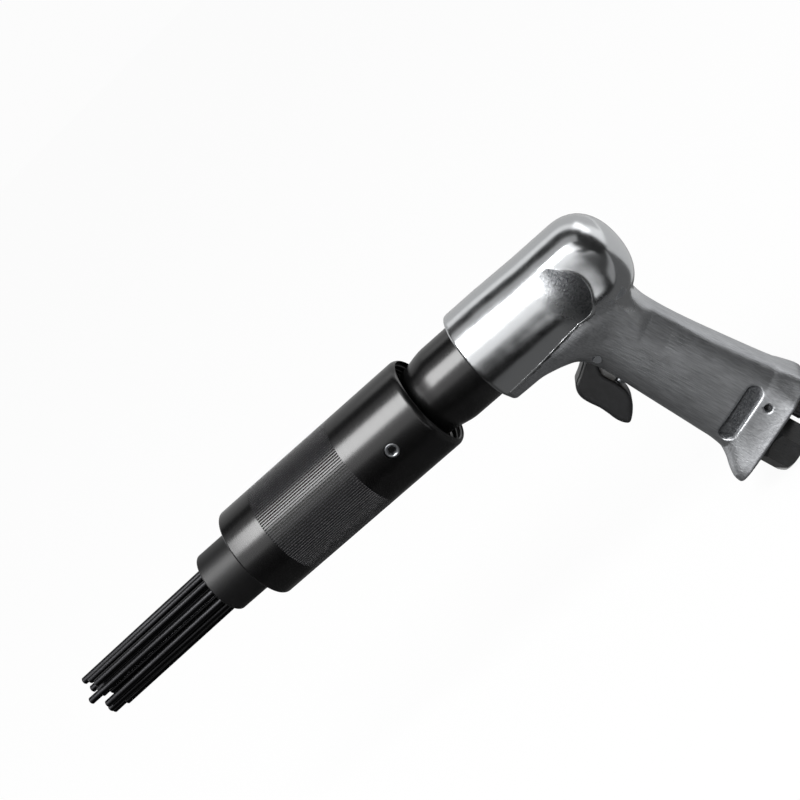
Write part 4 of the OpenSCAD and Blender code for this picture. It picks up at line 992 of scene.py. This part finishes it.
def softbox(name, toward, distance, length, width, radiance):
    """A rectangular lamp that faces the tool."""
    lamp = bpy.data.lights.new(name, "AREA")
    lamp.shape = "RECTANGLE"
    lamp.size = length
    lamp.size_y = width
    lamp.energy = radiance * math.pi * length * width
    out = Vector(toward).normalized()
    across_x = (Vector((1, 0, 0)) - out * out.x).normalized()
    facing = Matrix((across_x, out.cross(across_x), out)).transposed().to_4x4()
    placed(name, lamp).matrix_world = Matrix.Translation(middle + out * distance) @ facing


softbox("key_softbox", (-0.226, -0.6018, 0.7986), distance=1.5, length=0.95, width=0.86, radiance=9.0)
softbox("front_fill", (-0.28, -0.8988, 0.4384), distance=1.7, length=1.6, width=1.17, radiance=0.9)


def card(name, rows, level):
    """A card on rows of two places, seen only in reflections, where it shows as a plain grey level."""
    mesh = bpy.data.meshes.new(name)
    mesh.from_pydata([place_at for row in rows for place_at in row], [],
                     [(2 * i, 2 * i + 1, 2 * i + 3, 2 * i + 2) for i in range(len(rows) - 1)])
    piece = placed(name, mesh)
    material = bpy.data.materials.new(name)
    material.use_nodes = True
    tree = material.node_tree
    plain = put(tree, "ShaderNodeEmission", {"Color": (1, 1, 1, 1), "Strength": level})
    tree.links.new(plain.outputs[0], tree.nodes["Material Output"].inputs["Surface"])
    piece.data.materials.append(material)
    piece.visible_camera = False
    piece.visible_diffuse = False
    piece.visible_shadow = False
    piece.visible_transmission = False


# Cards reach far past both ends of the tool. Some are split, so that the black pieces and the casting
# mirror different greys
CARD_ENDS = (-2.2, 2.4)
LEFT_ENDS = (-2.2, -0.53)
RIGHT_ENDS = (-0.53, 2.4)
WALL_Y = (-1.9, 0.3)


def arch(start, end, radius=2.2, ends=CARD_ENDS, steps=8):
    """Rows on an arc round the tool, from straight in front (0) over the top (90)."""
    turns = [math.radians(start + (end - start) * i / steps) for i in range(steps + 1)]
    return [[(x, -radius * math.cos(a), radius * math.sin(a)) for x in ends] for a in turns]


def mat(near, far, ends=CARD_ENDS, lift=0.002):
    """Rows just over the floor, from one place across the tool to another."""
    return [[(x, y, floor_z + lift) for x in ends] for y in (near, far)]


def wall(x, top, lift=0.002):
    """Rows of an upright card square to the barrel."""
    return [[(x, y, floor_z + lift), (x, y, top)] for y in WALL_Y]


card("upper_card", arch(70, 94, 2.1), 0.35)
card("overhead_card", arch(94, 115), 0.01)
card("top_left_card", arch(115, 130, ends=LEFT_ENDS), 0.4)
card("top_rear_card", arch(115, 130, ends=RIGHT_ENDS), 0.95)
card("rear_card", arch(130, 178), 0.52)
card("back_high_card", arch(116, 142, 2.1, (1.3, 3.4)), 1.8)
card("front_card", arch(7, 70), 0.03)
card("low_left_card", arch(2, 7, ends=LEFT_ENDS), 0.06)
card("low_front_card", arch(2, 7, ends=RIGHT_ENDS), 0.45)
card("skirting_card", arch(-3, 2), 0.13)
card("dome_card", arch(24, 74, 1.9, (0.12, 0.8)), 1.1)
card("head_card", [[(-0.03, -1.0, z), (0.12, -1.0, z)] for z in (floor_z + 0.004, 0.5)], 1.0)
# A narrow strip on the floor that slants away, for the flare of the grip's end
FLARE_STRIP = [(0.12, 0.15, -0.19), (0.092, 0.125, -0.3), (0.072, 0.1, -0.4), (0.0, 0.06, -1.0)]
FLARE_LIFT = 0.006
flare_rows = [[(x, y, floor_z + FLARE_LIFT) for x in (near, far)] for near, far, y in FLARE_STRIP]
card("flare_card", flare_rows, 1.2)
card("floor_far_card", mat(-2.2, -0.8), 0.08)
card("floor_front_card", mat(-0.8, -0.26), 0.03)
card("floor_dark_card", mat(-0.26, -0.107), 0.004)
card("grip_card", mat(-0.27, -0.12, (0.2, 1.2), 0.004), 0.3)
card("left_card", wall(-1.4, 2.6), 0.08)
card("floor_left_card", mat(-0.107, 0.07, (-2.2, 0.085)), 0.05)
card("floor_card", mat(-0.107, 0.07, (0.085, 2.4)), 0.11)
card("floor_rear_card", mat(0.07, 5.9), 0.12)
card("back_right_card", mat(0.09, 3.0, (0.2, 2.4), 0.004), 0.55)
card("right_card", wall(1.3, 1.6), 0.02)

# Camera: where the photograph was taken from, in front of the tool and a little above it,
# and rolled so that the barrel runs up across the frame and the grip's end meets its edge.
FRAME_PX = 800
FOCAL_PX = 2122.016
SENSOR = 36.0
# In mm, and in pixels that the frame is slid across and up
CAMERA_DISTANCE = 800.0
SLIDE_X, SLIDE_Y = -14.6603, 38.1666
azimuth, elevation, roll = (math.radians(a) for a in (17.0, 14.0, -45.582))
toward = Vector((math.cos(elevation) * math.sin(azimuth), -math.cos(elevation) * math.cos(azimuth),
                 math.sin(elevation)))
right = (-toward).cross(Vector((0, 0, 1))).normalized()
upward = right.cross(-toward)
rolled_right = math.cos(roll) * right + math.sin(roll) * upward
rolled_up = -math.sin(roll) * right + math.cos(roll) * upward
spot = (1000 * middle + toward * CAMERA_DISTANCE - rolled_right * SLIDE_X * CAMERA_DISTANCE / FOCAL_PX
        + rolled_up * SLIDE_Y * CAMERA_DISTANCE / FOCAL_PX)
camera_data = bpy.data.cameras.new("camera")
camera_data.sensor_width = SENSOR
camera_data.lens = SENSOR * FOCAL_PX / FRAME_PX
camera_data.clip_start = 0.05
camera = placed("camera", camera_data)
facing = Matrix((rolled_right, rolled_up, toward)).transposed().to_4x4()
camera.matrix_world = Matrix.Translation(spot / 1000) @ facing
bpy.context.scene.camera = camera
bpy.context.scene.view_settings.view_transform = "Standard"
